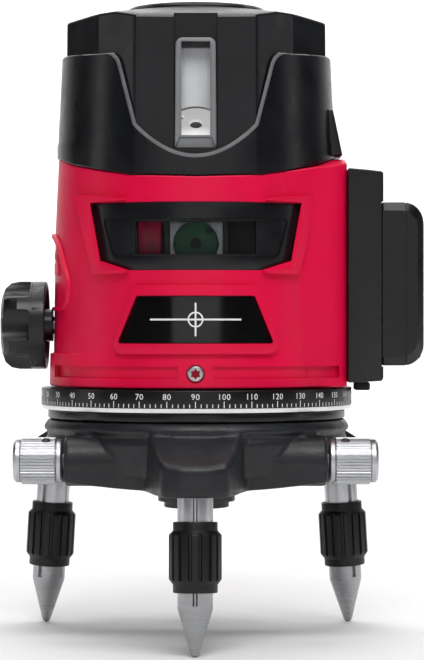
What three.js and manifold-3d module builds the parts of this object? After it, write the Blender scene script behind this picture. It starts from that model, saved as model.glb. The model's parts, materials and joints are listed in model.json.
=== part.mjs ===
// Self-levelling line laser whose housing swivels on a graduated three-legged base.
// Millimetres, +Z up. The origin is on the ground, under the middle of the outline.
import * as THREE from "three";
import { mergeVertices } from "three/addons/utils/BufferGeometryUtils.js";
import Module from "manifold-3d";

const wasm = await Module();
wasm.setup();

// ---------------------------------------------------------------- driving dimensions
const GAP = 0.3;                                   // clearance between neighbouring pieces
const AXIS = { x: -5.4, y: 8.5 };                  // the housing's turning axis in the part's frame
const FINE = 36;                                   // segments round the large shells
const MEDIUM = 20;
const COARSE = 12;

const LEG = {
  azimuths: { front: -90, right: 30, left: 150 },
  tipCircle: 63, splay: 3.75, tip: 1.6, coneTop: 15.4, foot: 5.75, footTop: 30, stem: 3.2,
  stemTop: 56, sleeve: 5.85, sleeveBore: 3.6, sleeveFrom: 37, sleeveTo: 59.7, slot: 1.6,
  nutFrom: 20.7, nutTo: 43.5, nutCollar: 7.25, nut: 8.55, nutRibs: 16, nutWeb: [31, 36.5],
};
const CASTING = {
  floor: 52, ceiling: 56, top: 74.8, radius: 51.9, chamferRadius: 53.2, chamfer: 72.1,
  chamber: 47.5, lugReach: 71.1, lugTip: 10.85, lugRoot: 16.5, lugCorner: 5,
  pedestal: { low: [-26, -43, 53], high: [26, -26, 67] },
};
// The round plate in the casting's floor, with the boss that meets the tripod.
const PLATE = { radius: 25.7, boss: 13.4, lip: 11.3, bottom: 43.8, step: 45.9, seat: 54.9 };
// 5/8 inch survey tripod thread
const INSERT = { outer: 10, bore: 7.94, flange: 12.2, low: 44.4, flangeLow: 55.2, top: 56 };
const SPINDLE = { radius: 7, bore: 3, flange: 16, low: 56.3, high: 95.5, nut: 10.5, nutLow: 90.4 };
const WORM = {
  y: -36, z: 61.8, housing: 8.45, housingEnd: 43.7, channel: 5.2, shaft: 2.8, thread: 4.3,
  threadEnd: 14, threadPitch: 5.6, bushFrom: 35, bushTo: 43,
  knobFrom: 44.3, knobTo: 60.6, gripFrom: 46.5, gripTo: 58.1, knob: 7.825,
  collar: 7.15, flutes: 20, fluteDepth: 0.4, grubAt: 50, grub: 1.5,
};
const WHEEL = { tip: 31.4, root: 29.6, teeth: 36, low: 58.8, high: 64.8, hub: 14, hubTop: 77 };
const DIAL = { radius: 54, bevelRadius: 51.9, inner: 46, low: 78.3, bevel: 79.7, top: 85.6 };
const COVER_DISC = { radius: 51.6, hole: 20, low: 75.1, high: 78 };
const TURNTABLE = {
  radius: 45.5, deck: 48.1, rim: 44.1, low: 79.2, step: 86.5, top: 90, rimTop: 96, pocket: 12.3,
  pocketLow: 82,
};
const CLUTCH_SPRING = [[8, 77.3], [13, 77.8], [13, 78.5], [8, 78]];
const SHELL = {
  low: 86.2, flangeTop: 97.7, middle: 139.2, top: 164.9, wall: 2.2,
  flange: [51.1, 50.8], radii: [49.6, 49, 47.8], flangeInner: 48.5,
  side: 50.9, sideHalf: 25, sideTop: 164.5, seamFront: 155.6, seamRise: 9.2, seamReach: 48,
};
const SKIRT = { inner: 45.4, radii: [48.4, 47.9, 46.5], heights: [150, 169.7, 199.6] };
const CUTOUT = { bottom: 162.4, corner: [20.8, 173.2], shoulder: [27.3, 194], top: [31.8, 199.6] };
const DOME = {
  low: 150.6, radius: 45.1, rim: 210.8, roofRadius: 24.8, roof: 215, wall: 2.3, flat: 43,
  ledge: 21, roofWall: 5.2, padInner: 35.5, padHalf: 9.5, padLow: 163, padTop: 210, seat: 38.5,
};
const CAP = { radius: 24.4, face: 22.8, low: 211.4, edge: 215.2, top: 216.6 };
const BUTTON = { circle: 14.5, radius: 4.5, low: 212.2, top: 216.4 };
const VIAL = { radius: 6, low: 212.2, top: 216.2 };
const WINDOW = {
  half: 7, glass: 4.75, low: 166, glassLow: 170.1, glassTop: 199.9, top: 202.4, frameFrom: 38.8,
  frameTo: 41.6, paneFrom: 39.4, paneTo: 40.6,
};
const BEZEL = {
  outline: [[-31.6, 128.6], [-21.6, 125.3], [21.6, 125.3], [31.6, 128.6], [35, 147.5], [-35, 147.5]],
  opening: [[-27, 129.8], [27, 129.8], [30.5, 141.9], [-30.5, 141.9]],
  outer: 48.9, inner: 45.4,
};
const LABEL = { outline: [[-25.6, 101.2], [25.6, 101.2], [19.3, 116.5], [-19.3, 116.5]], radius: 49.4 };
const SCREW = { z: 91, head: 2.75, shank: 1.4 };
const LOCK = {
  z: 107, neck: 5.85, disc: 15.25, neckFrom: 49.9, discFrom: 52, gripFrom: 56.3, end: 67.8,
  lobes: 6, lobeSteps: 30, grip: 11, lobeHeight: 1.1, edgeWidth: 2.4, edgeHeight: 3, shaft: 3,
  socketTo: 58, cam: 6, camFrom: 36, camTo: 39, camOffset: 1.5,
};
const BATTERY = {
  face: 51.2, edge: 64.7, half: 28, low: 87.6, top: 161.1, coverFrom: 62.9, coverTo: 78.6,
  coverLow: 93.4, coverTop: 148.6, coverWall: 1.7, coverCorner: 6, chamfer: 2.8, innerChamfer: 0.5,
  cell: 7.25, cellLength: 49.5, cellLow: 95.6, cellX: 69.5, cellPitch: 16.2, button: 2.75, buttonRise: 1,
  room: { low: [61.9, -26.2, 95], high: [80, 26.2, 147] },
  wiring: { low: [40, -26, 89.6], high: [59.9, 26, 159.1] },
};
const PLUG = { low: [54.9, -5, 84.5], high: [60.2, 5, 87.3] };
const GIMBAL = {
  z: 150, inner: 26, outer: 31, half: 2.5, pin: 1.5, pinFrom: 29, pinTo: 38,
  bracketInner: 34, bracketOuter: 40, bracketHalf: 3, postCircle: 37, post: 3,
};
const PENDULUM = {
  plate: 21, plateLow: 148, plateTop: 152.5, stem: 6, bob: 16, bobLow: 96.6, bobTop: 112,
  pinFrom: 19, pinTo: 29,
  cradle: { low: [-9, -26, 124.5], high: [9, -2, 144.5] },
  sideBlock: { low: [-20, -22, 129], high: [-8, -2, 142] },
  arms: { low: [-4, -16, 150], high: [4, 16, 156] },
};
const PLUMB_MODULE = { beam: 1.5, radius: 4.5, low: 96.1, top: 110 };
const MAGNET = { inner: 11.6, outer: 20, top: 93.4 };
const BOARD = { low: [-20, 39, 100], high: [20, 40.6, 138] };
const LASER = { y: 26.5, z: 175, radius: 8.5, length: 22, rake: 45, beam: 2.25 };
const LEVEL_LASER = { from: 10, to: 34, z: 134.5, radius: 7.5, aperture: 1.9, apertureFrom: 30 };

// ---------------------------------------------------------------- shapes
const radians = (degrees) => degrees * Math.PI / 180;

// Joins a geometry's shared vertices, drops empty triangles and turns its faces outward.
function closed(source) {
  const plain = source.clone();
  for (const name of Object.keys(plain.attributes)) {
    if (name !== "position") plain.deleteAttribute(name);
  }
  const geometry = mergeVertices(plain, 1e-4);
  const { array } = geometry.attributes.position;
  const corner = (vertex) => new THREE.Vector3().fromArray(array, vertex * 3);
  const triangles = [];
  let volume = 0;
  for (let at = 0; at < geometry.index.count; at += 3) {
    const [a, b, c] = [0, 1, 2].map((step) => geometry.index.getX(at + step));
    if (a === b || b === c || c === a) continue;
    triangles.push(a, b, c);
    volume += corner(a).dot(corner(b).cross(corner(c)));
  }
  if (volume < 0) triangles.reverse();
  geometry.setIndex(triangles);
  return geometry;
}

function toSolid(geometry) {
  const vertProperties = new Float32Array(geometry.attributes.position.array);
  const triVerts = new Uint32Array(geometry.index.array);
  return new wasm.Manifold(new wasm.Mesh({ numProp: 3, vertProperties, triVerts }));
}

function toGeometry(solid) {
  const { vertProperties, triVerts } = solid.getMesh();
  const geometry = new THREE.BufferGeometry();
  geometry.setAttribute("position", new THREE.BufferAttribute(vertProperties, 3));
  geometry.setIndex(new THREE.BufferAttribute(triVerts, 1));
  return geometry;
}

const combine = (operation) => (first, ...others) => toGeometry(
  others.reduce((whole, other) => whole[operation](toSolid(other)), toSolid(first)),
);
const join = combine("add");
const cut = combine("subtract");
const overlap = combine("intersect");

// A solid of revolution about Z from [radius, height] points.
function turned(profile, segments = FINE) {
  const onAxis = profile[0][0] === 0 && profile.at(-1)[0] === 0;
  const loop = onAxis ? profile : [...profile, profile[0]];
  const points = loop.map(([radius, height]) => new THREE.Vector2(radius, height));
  return closed(new THREE.LatheGeometry(points, segments).rotateX(Math.PI / 2));
}

const disc = (radius, low, high, segments) => turned(
  [[0, low], [radius, low], [radius, high], [0, high]], segments,
);
const ring = (inner, outer, low, high, segments) => turned(
  [[inner, low], [outer, low], [outer, high], [inner, high]], segments,
);

// A box from its lowest to its highest corner.
function block([x0, y0, z0], [x1, y1, z1]) {
  const box = new THREE.BoxGeometry(x1 - x0, y1 - y0, z1 - z0);
  return closed(box.translate((x0 + x1) / 2, (y0 + y1) / 2, (z0 + z1) / 2));
}

const boxOf = ({ low, high }) => block(low, high);

const outlineOf = (points) => new THREE.Shape(points.map(([x, y]) => new THREE.Vector2(x, y)));

// An outline in plan, raised from low to high.
function prism(outline, low, high, options = {}) {
  const shape = outline instanceof THREE.Shape ? outline : outlineOf(outline);
  const settings = { depth: high - low, bevelEnabled: false, curveSegments: 4, ...options };
  return closed(new THREE.ExtrudeGeometry(shape, settings).translate(0, 0, low));
}

// An outline in the XZ plane, carried along Y from near to far.
const across = (outline, near, far) => prism(outline, -far, -near).rotateX(Math.PI / 2);

function roundedRectangle(halfWidth, halfHeight, corner) {
  const shape = new THREE.Shape();
  const [w, h] = [halfWidth - corner, halfHeight - corner];
  shape.absarc(w, h, corner, 0, Math.PI / 2);
  shape.absarc(-w, h, corner, Math.PI / 2, Math.PI);
  shape.absarc(-w, -h, corner, Math.PI, Math.PI * 1.5);
  shape.absarc(w, -h, corner, Math.PI * 1.5, Math.PI * 2);
  return shape;
}

// A ring of teeth or flutes as a closed outline: the tops take the given share of the pitch.
function toothed(tip, root, count, share = 0.5) {
  const points = [];
  for (let tooth = 0; tooth < count; tooth += 1) {
    const middle = 2 * Math.PI * tooth / count;
    const half = Math.PI / count;
    const corners = [[-1, root], [-share, tip], [share, tip]];
    corners.forEach(([at, radius]) => {
      const angle = middle + at * half;
      points.push([radius * Math.cos(angle), radius * Math.sin(angle)]);
    });
  }
  return points;
}

const grown = (outline, by, [cx, cy]) => outline.map(([x, y]) => [
  x + by * Math.sign(x - cx), y + by * Math.sign(y - cy),
]);

// ---------------------------------------------------------------- the assembly
const level = new THREE.Group();
level.name = "line_laser_level";
const machine = new THREE.Group();
machine.position.set(AXIS.x, AXIS.y, 0);
level.add(machine);

const FINISH = {
  casting: { color: 0x36383c, roughness: 0.6, metalness: 0.3 },
  brightMetal: { color: 0xc4c5c8, roughness: 0.35, metalness: 0.9 },
  steel: { color: 0x8c8e92, roughness: 0.4, metalness: 0.9 },
  brass: { color: 0xb08d4a, roughness: 0.4, metalness: 0.9 },
  blackPlastic: { color: 0x15161a, roughness: 0.45, metalness: 0 },
  grip: { color: 0x16171a, roughness: 0.7, metalness: 0 },
  red: { color: 0xcc0f40, roughness: 0.5, metalness: 0 },
  grey: { color: 0x6b6c6e, roughness: 0.5, metalness: 0 },
  dial: { color: 0x101114, roughness: 0.35, metalness: 0.4 },
  glass: { color: 0xc4c5c8, roughness: 0.05, metalness: 0 },
  green: { color: 0x00472d, roughness: 0.5, metalness: 0 },
  label: { color: 0x0c0d10, roughness: 0.15, metalness: 0 },
  cell: { color: 0x3c4a55, roughness: 0.4, metalness: 0.5 },
};

function add(parent, name, geometry, finish) {
  const flat = geometry.toNonIndexed();
  flat.computeVertexNormals();
  const mesh = new THREE.Mesh(flat, new THREE.MeshStandardMaterial(FINISH[finish]));
  mesh.name = name;
  parent.add(mesh);
  return mesh;
}

// A group standing on the leg's line: local Z runs up the leg from the point of its foot.
function legFrame(azimuth) {
  const turn = new THREE.Group();
  turn.rotation.z = radians(azimuth);
  const lean = new THREE.Group();
  lean.position.set(LEG.tipCircle, 0, 0);
  lean.rotation.y = -radians(LEG.splay);
  turn.add(lean);
  machine.add(turn);
  return lean;
}

// The same place as legFrame, for shapes that are cut from the casting.
function onLeg(geometry, azimuth) {
  return geometry.rotateY(-radians(LEG.splay)).translate(LEG.tipCircle, 0, 0).rotateZ(radians(azimuth));
}

// ---------------------------------------------------------------- base
function lugShape(azimuth) {
  const { lugReach, lugTip, lugRoot, lugCorner } = CASTING;
  const plan = new THREE.Shape();
  plan.moveTo(30, -lugRoot);
  plan.lineTo(44, -lugRoot);
  plan.lineTo(lugReach - lugCorner, -lugTip);
  plan.absarc(lugReach - lugCorner, lugCorner - lugTip, lugCorner, -Math.PI / 2, 0);
  plan.absarc(lugReach - lugCorner, lugTip - lugCorner, lugCorner, 0, Math.PI / 2);
  plan.lineTo(44, lugRoot);
  plan.lineTo(30, lugRoot);
  const profile = [[29, 52], [72, 52], [72, 60.6], [66, 63], [53, 71], [29, 71]];
  const lug = overlap(prism(plan, 50, 76), across(profile, -20, 20));
  return lug.rotateZ(radians(azimuth));
}

function castingShape() {
  const { floor, ceiling, top, radius, chamferRadius, chamfer, chamber } = CASTING;
  const drum = turned([
    [0, floor], [48, floor], [chamferRadius - 1, 58], [chamferRadius, chamfer], [radius, top], [0, top],
  ]);
  const lugs = Object.values(LEG.azimuths).map(lugShape);
  const hollow = cut(join(drum, ...lugs), disc(chamber, ceiling, top + 5));
  const alongWorm = (size, half) => disc(size, -half, half, COARSE).rotateY(Math.PI / 2)
    .translate(0, WORM.y, WORM.z);
  const whole = join(hollow, boxOf(CASTING.pedestal), alongWorm(WORM.housing, WORM.housingEnd));
  const bores = Object.values(LEG.azimuths).map((azimuth) => onLeg(
    disc(LEG.sleeve + GAP, 40, LEG.sleeveTo + GAP, COARSE), azimuth,
  ));
  return cut(
    whole, alongWorm(WORM.channel, 50), disc(WHEEL.tip + 1, WHEEL.low - 2 * GAP, top + 5),
    disc(PLATE.radius + GAP, floor - 5, ceiling + 5), ...bores,
  );
}

function plateShape() {
  const { radius, boss, lip, bottom, step, seat } = PLATE;
  const bore = INSERT.outer + GAP;
  const recess = INSERT.flange + GAP;
  return turned([
    [bore, bottom], [lip, bottom], [lip, step], [boss, step], [boss, CASTING.floor],
    [radius, CASTING.floor], [radius, CASTING.ceiling], [recess, CASTING.ceiling], [recess, seat],
    [bore, seat],
  ]);
}

function addBase() {
  add(machine, "base_casting", castingShape(), "casting");
  add(machine, "tripod_plate", plateShape(), "casting");
  const { outer, bore, flange, low: foot, flangeLow, top } = INSERT;
  const insert = [
    [bore, foot], [outer, foot], [outer, flangeLow], [flange, flangeLow], [flange, top], [bore, top],
  ];
  add(machine, "tripod_insert", turned(insert, MEDIUM), "brass");
  add(machine, "cover_disc", ring(COVER_DISC.hole, COVER_DISC.radius, COVER_DISC.low, COVER_DISC.high),
    "blackPlastic");
  add(machine, "dial_ring", turned([
    [DIAL.inner, DIAL.low], [DIAL.bevelRadius, DIAL.low], [DIAL.radius, DIAL.bevel],
    [DIAL.radius, DIAL.top], [DIAL.inner, DIAL.top],
  ]), "dial");
  const { radius, bore: through, low, high } = SPINDLE;
  add(machine, "centre_spindle", turned([
    [through, low], [SPINDLE.flange, low], [SPINDLE.flange, low + 2], [radius, low + 2],
    [radius, high], [through, high],
  ], MEDIUM), "steel");
  const hexagon = cut(
    disc(SPINDLE.nut, SPINDLE.nutLow, SPINDLE.nutLow + 4, 6), disc(radius + GAP, 80, 100, MEDIUM),
  );
  add(machine, "spindle_nut", hexagon, "steel");
}

function sleeveShape() {
  const tube = ring(LEG.sleeveBore, LEG.sleeve, LEG.sleeveFrom, LEG.sleeveTo, COARSE);
  const keyway = () => block([LEG.sleeve - 1, -LEG.slot / 2, 44], [LEG.sleeve + 1, LEG.slot / 2, 52]);
  const keyways = [0, 1, 2, 3].map((side) => keyway().rotateZ(side * Math.PI / 2));
  return cut(tube, ...keyways);
}

function nutShape() {
  const { nutFrom, nutTo, nutCollar, nut, nutRibs, nutWeb } = LEG;
  const collar = disc(nutCollar, nutFrom, nutTo, MEDIUM);
  const ribs = prism(toothed(nut, nut - 0.7, nutRibs, 0.72), nutFrom + 3.6, nutTo - 3.4);
  const bore = turned([
    [0, nutFrom - 1], [LEG.foot + GAP, nutFrom - 1], [LEG.foot + GAP, nutWeb[0]],
    [LEG.stem + GAP, nutWeb[0]], [LEG.stem + GAP, nutWeb[1]], [LEG.sleeve + GAP, nutWeb[1]],
    [LEG.sleeve + GAP, nutTo + 1], [0, nutTo + 1],
  ], COARSE);
  return cut(join(collar, ribs), bore);
}

function footShape() {
  const { tip, coneTop, foot, footTop, stem, stemTop, slot } = LEG;
  const cosine = Math.cos(radians(20));
  const sine = Math.sin(radians(20));
  const body = turned([
    [0, 0], [tip * 0.7, tip * 0.3], [tip * cosine, tip * (1 + sine)], [foot, coneTop],
    [foot, footTop], [stem, footTop], [stem, stemTop], [0, stemTop],
  ], COARSE);
  const keyway = () => block([foot - 1, -slot / 2, coneTop], [foot + 1, slot / 2, footTop - 1]);
  const keyways = [0, 1, 2, 3].map((side) => keyway().rotateZ(side * Math.PI / 2 + Math.PI / 4));
  return cut(body, ...keyways);
}

function addLegs() {
  for (const [side, azimuth] of Object.entries(LEG.azimuths)) {
    const frame = legFrame(azimuth);
    add(frame, `leg_sleeve_${side}`, sleeveShape(), "brightMetal");
    add(frame, `leg_nut_${side}`, nutShape(), "grip");
    add(frame, `leg_foot_${side}`, footShape(), "steel");
  }
}

// ---------------------------------------------------------------- tangent screw
function knobShape() {
  const { knobFrom, knobTo, gripFrom, gripTo, knob, collar, flutes, fluteDepth } = WORM;
  const grip = prism(toothed(knob, knob - fluteDepth, flutes), gripFrom, gripTo);
  const hub = turned([
    [0, knobFrom], [collar - 0.6, knobFrom], [collar, knobFrom + 0.6], [collar, knobTo - 0.8],
    [collar - 0.8, knobTo], [0, knobTo],
  ], MEDIUM);
  const bore = disc(WORM.shaft + GAP, knobFrom - 1, knobTo - 3, COARSE);
  const grubHole = disc(WORM.grub, 0, 12, 12).rotateY(-Math.PI / 2).translate(0, 0, WORM.grubAt);
  return cut(join(hub, grip), bore, grubHole);
}

function addTangentScrew() {
  const screw = new THREE.Group();
  screw.position.set(0, WORM.y, WORM.z);
  screw.rotation.y = Math.PI / 2;
  machine.add(screw);
  const thread = [];
  const quarter = WORM.threadPitch / 4;
  for (let start = -WORM.threadEnd; start < WORM.threadEnd - 1; start += WORM.threadPitch) {
    thread.push([WORM.thread - 1, start], [WORM.thread, start + quarter]);
    thread.push([WORM.thread, start + 2 * quarter], [WORM.thread - 1, start + 3 * quarter]);
  }
  const end = WORM.knobTo - 3 - GAP;
  add(screw, "worm_shaft", turned([
    [0, -end], [WORM.shaft, -end], [WORM.shaft, -WORM.threadEnd - 1], ...thread,
    [WORM.shaft, WORM.threadEnd + 1], [WORM.shaft, end], [0, end],
  ], COARSE), "steel");
  const bush = () => ring(WORM.shaft + GAP, WORM.channel - GAP, WORM.bushFrom, WORM.bushTo, COARSE);
  add(screw, "worm_bush_right", bush(), "brass");
  add(screw, "worm_bush_left", bush().rotateX(Math.PI), "brass");
  add(screw, "tangent_knob_right", knobShape(), "brightMetal");
  add(screw, "tangent_knob_left", knobShape().rotateY(Math.PI).rotateZ(Math.PI), "brightMetal");
  const gear = prism(toothed(WHEEL.tip, WHEEL.root, WHEEL.teeth, 0.4), WHEEL.low, WHEEL.high);
  const hub = disc(WHEEL.hub, WHEEL.low, WHEEL.hubTop, MEDIUM);
  const bore = disc(SPINDLE.radius + GAP, 50, 80, MEDIUM);
  add(machine, "worm_wheel", cut(join(gear, hub), bore), "brass");
}

// ---------------------------------------------------------------- turntable
function addTurntable() {
  const { radius, deck, rim, low, step, top, rimTop, pocket, pocketLow } = TURNTABLE;
  const bore = SPINDLE.radius + GAP;
  const plate = turned([
    [bore, low], [radius, low], [radius, step], [deck, step], [deck, rimTop], [rim, rimTop],
    [rim, top], [pocket, top], [pocket, pocketLow], [bore, pocketLow],
  ]);
  const holes = SCREWS.map(({ azimuth }) => radial(SCREW.shank + GAP, 40, 52, SCREW.z, azimuth));
  add(machine, "turntable", cut(plate, ...holes), "casting");
  const bearing = ring(bore, pocket - GAP, pocketLow + GAP, top - GAP, MEDIUM);
  add(machine, "swivel_bearing", bearing, "steel");
  add(machine, "clutch_spring", turned(CLUTCH_SPRING, MEDIUM), "steel");
}

// A bar on the line from the turning axis outward at a height and azimuth.
function radial(radius, from, to, height, azimuth, segments = 12) {
  return disc(radius, from, to, segments).rotateY(Math.PI / 2).rotateZ(radians(azimuth))
    .translate(0, 0, height);
}

const SCREWS = [
  { name: "shell_screw_front", azimuth: -90 },
  { name: "shell_screw_right", azimuth: 30 },
  { name: "shell_screw_left", azimuth: 150 },
];

// ---------------------------------------------------------------- housing shells
// Everything above the wavy seam between the shell and the skirt, low at the front and back.
function aboveSeam(rise) {
  const { seamFront, seamRise, seamReach } = SHELL;
  const steps = 8;
  const curve = [];
  for (let step = -steps; step <= steps; step += 1) {
    const share = step / steps;
    curve.push([share * seamReach, seamFront + rise + seamRise * share * share]);
  }
  const high = seamFront + rise + seamRise;
  return across([[-60, high], ...curve, [60, high], [60, 240], [-60, 240]], -60, 60);
}

function shellShape() {
  const { low, flangeTop, middle, top, wall, flange, radii, flangeInner } = SHELL;
  const outer = turned([
    [0, low], [flange[0], low], [flange[1], flangeTop], [radii[0], flangeTop], [radii[1], middle],
    [radii[2], top], [0, top],
  ]);
  const inner = turned([
    [0, low - 1], [flangeInner, low - 1], [flangeInner, flangeTop - wall],
    [radii[0] - wall, flangeTop + 0.5], [radii[1] - wall, middle], [radii[2] - wall, top + 1], [0, top + 1],
  ]);
  const shoulder = (inset) => [
    [30, inset - 38], [SHELL.side - inset, inset - SHELL.sideHalf],
    [SHELL.side - inset, SHELL.sideHalf - inset], [30, 38 - inset],
  ];
  const outside = join(outer, prism(shoulder(0), low, SHELL.sideTop));
  const inside = join(inner, prism(shoulder(wall), 98, SHELL.sideTop - wall));
  const bezelHole = across(grown(BEZEL.outline, GAP, [0, 136]), -60, -30);
  const labelHole = overlap(
    across(grown(LABEL.outline, GAP, [0, 108]), -60, -30), ring(LABEL.radius - 1, 60, 90, 130),
  );
  const wireSlot = block([40, -10, 105], [60, 10, 135]);
  const holes = SCREWS.map(({ azimuth }) => radial(SCREW.head + GAP, 46, 60, SCREW.z, azimuth, 16));
  const lockHole = radial(LOCK.neck + GAP, 30, 60, LOCK.z, 180, COARSE);
  return cut(
    cut(outside, inside), aboveSeam(0), bezelHole, labelHole, wireSlot, lockHole, ...holes,
  );
}

function skirtShape() {
  const { inner, radii, heights } = SKIRT;
  const sleeve = turned([
    [inner, heights[0]], [radii[0], heights[0]], [radii[0], heights[1]], [radii[1], heights[1]],
    [radii[2], heights[2]], [inner, heights[2]],
  ]);
  const rib = across([[45, 165.2], [50.6, 165.2], [46.9, 181], [45, 181]], -14, 14);
  const { bottom, corner, shoulder, top } = CUTOUT;
  const gap = new THREE.Shape();
  gap.moveTo(-corner[0], corner[1]);
  gap.quadraticCurveTo(0, bottom - (corner[1] - bottom), corner[0], corner[1]);
  gap.lineTo(shoulder[0], shoulder[1]);
  gap.quadraticCurveTo(shoulder[0] + 1, top[1], top[0] + 1, top[1] + 0.5);
  gap.lineTo(top[0] + 1, 220);
  gap.lineTo(-top[0] - 1, 220);
  gap.lineTo(-top[0] - 1, top[1] + 0.5);
  gap.quadraticCurveTo(-shoulder[0] - 1, top[1], -shoulder[0], shoulder[1]);
  const body = cut(join(sleeve, rib), disc(inner, 140, 220), across(gap, -60, 60));
  return overlap(body, aboveSeam(GAP));
}

function domeShape() {
  const { low, radius, rim, roofRadius, roof, wall, flat, ledge, roofWall } = DOME;
  const { padInner, padHalf, padLow, padTop, seat } = DOME;
  const outside = turned([
    [0, low], [radius, low], [radius, rim], [roofRadius, roof], [0, roof],
  ]);
  const inside = turned([
    [0, low - 1], [radius - wall, low - 1], [radius - wall, rim - 1.6], [roofRadius + 1, roof - roofWall],
    [ledge, roof - roofWall], [ledge, CAP.low - GAP], [roofRadius, CAP.low - GAP], [roofRadius, roof + 1],
    [0, roof + 1],
  ]);
  const bothSides = (shape) => [shape, shape.clone().rotateZ(Math.PI)];
  const pads = bothSides(block([-padHalf, -flat, padLow], [padHalf, -padInner, padTop]));
  const recess = WINDOW.half + GAP;
  const channels = bothSides(block([-recess, -60, WINDOW.low - GAP], [recess, -seat, 230]));
  const { glass, glassLow, glassTop } = WINDOW;
  const opening = block([-glass, -60, glassLow], [glass, 60, glassTop]);
  const flats = block([-60, -flat, 100], [60, flat, 230]);
  const hood = join(overlap(cut(outside, inside), flats), ...pads);
  return cut(hood, ...channels, opening);
}

function capShape() {
  const { radius, face, low, edge, top } = CAP;
  const body = turned([[0, low], [radius, low], [radius, edge], [face, top], [0, top]]);
  const holes = [90, 210, 330].map((azimuth) => buttonDisc(BUTTON.radius + GAP, 200, 230, azimuth));
  return cut(body, disc(VIAL.radius + GAP, 200, 230, COARSE), ...holes);
}

function buttonDisc(radius, low, high, azimuth) {
  const { circle } = BUTTON;
  return disc(radius, low, high, COARSE)
    .translate(circle * Math.cos(radians(azimuth)), circle * Math.sin(radians(azimuth)), 0);
}

function addShells() {
  add(machine, "red_shell", shellShape(), "red");
  add(machine, "skirt", skirtShape(), "blackPlastic");
  add(machine, "head_dome", domeShape(), "blackPlastic");
  add(machine, "keypad_cap", capShape(), "blackPlastic");
  add(machine, "bubble_vial", turned([
    [0, VIAL.low], [VIAL.radius, VIAL.low], [VIAL.radius, VIAL.top - 1], [4, VIAL.top], [0, VIAL.top],
  ], COARSE), "glass");
  const buttons = { power_button: 90, level_button: 210, plumb_button: 330 };
  for (const [name, azimuth] of Object.entries(buttons)) {
    add(machine, name, buttonDisc(BUTTON.radius, BUTTON.low, BUTTON.top, azimuth), "grey");
  }
  for (const { name, azimuth } of SCREWS) {
    const screw = join(
      radial(SCREW.head, 48.8, 50.8, SCREW.z, azimuth, 16), radial(SCREW.shank, 42, 49, SCREW.z, azimuth),
    );
    add(machine, name, screw, "brightMetal");
  }
}

function addWindows() {
  const { half, glass, low, glassLow, glassTop, top, frameFrom, frameTo, paneFrom, paneTo } = WINDOW;
  for (const [side, turn] of [["front", 0], ["back", Math.PI]]) {
    const opening = block([-glass, -50, glassLow], [glass, -30, glassTop]);
    const frame = cut(block([-half, -frameTo, low], [half, -frameFrom, top]), opening);
    add(machine, `window_frame_${side}`, frame.rotateZ(turn), "grey");
    const pane = block([GAP - glass, -paneTo, glassLow + GAP], [glass - GAP, -paneFrom, glassTop - GAP]);
    add(machine, `window_glass_${side}`, pane.rotateZ(turn), "glass");
  }
  const bezel = overlap(across(BEZEL.outline, -60, -30), ring(BEZEL.inner, BEZEL.outer, 120, 150));
  add(machine, "level_bezel", cut(bezel, across(BEZEL.opening, -60, -30)), "blackPlastic");
  const pane = overlap(
    across(grown(BEZEL.opening, 1, [0, 136]), -60, -30), ring(BEZEL.inner - 1.8, BEZEL.inner - GAP, 120, 150),
  );
  add(machine, "level_glass", pane, "glass");
  const plate = overlap(across(LABEL.outline, -60, -30), ring(LABEL.radius - 0.7, LABEL.radius, 90, 130));
  add(machine, "label_plate", plate, "label");
}

// ---------------------------------------------------------------- lock knob
function addLock() {
  const lock = new THREE.Group();
  lock.position.set(0, 0, LOCK.z);
  lock.rotation.y = -Math.PI / 2;
  machine.add(lock);
  const { neck, disc: plate, neckFrom, discFrom, gripFrom, end, shaft, socketTo } = LOCK;
  const lobed = [];
  for (let step = 0; step < LOCK.lobeSteps; step += 1) {
    const angle = 2 * Math.PI * step / LOCK.lobeSteps;
    const radius = LOCK.grip + LOCK.lobeHeight * Math.cos(LOCK.lobes * angle);
    lobed.push([radius * Math.cos(angle), radius * Math.sin(angle)]);
  }
  const { edgeWidth, edgeHeight } = LOCK;
  const rounding = {
    bevelEnabled: true, bevelThickness: edgeHeight, bevelSize: edgeWidth, bevelSegments: 2,
  };
  const grip = prism(lobed, gripFrom - 1, end - edgeHeight, rounding);
  const base = join(disc(neck, neckFrom, discFrom + 1, COARSE), disc(plate, discFrom, gripFrom));
  const above = block([-plate, -plate, gripFrom - 0.5], [plate, plate, end + 1]);
  const socket = disc(shaft + GAP, neckFrom - 1, socketTo, COARSE);
  add(lock, "lock_knob", cut(join(base, overlap(grip, above)), socket), "blackPlastic");
  const cam = disc(LOCK.cam, LOCK.camFrom, LOCK.camTo, COARSE).translate(LOCK.camOffset, 0, 0);
  add(lock, "lock_cam", join(disc(shaft, LOCK.camTo - 1, socketTo - GAP, COARSE), cam), "steel");
}

// ---------------------------------------------------------------- battery side
// A rounded box whose outer face is chamfered, built along Z and laid over to X.
function coverBlock(inset, from, to, size) {
  const { half, coverLow, coverTop, coverCorner } = BATTERY;
  const middle = (coverLow + coverTop) / 2;
  const outline = roundedRectangle(half - inset, (coverTop - coverLow) / 2 - inset, coverCorner - inset / 2);
  const bevel = {
    bevelEnabled: true, bevelThickness: size, bevelSize: size, bevelOffset: -size, bevelSegments: 1,
  };
  const whole = prism(outline, from - 3, to - size, bevel);
  const kept = overlap(whole, block([-40, -40, from], [40, 40, to + 1]));
  return kept.rotateZ(Math.PI / 2).rotateY(Math.PI / 2).translate(0, 0, middle);
}

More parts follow.
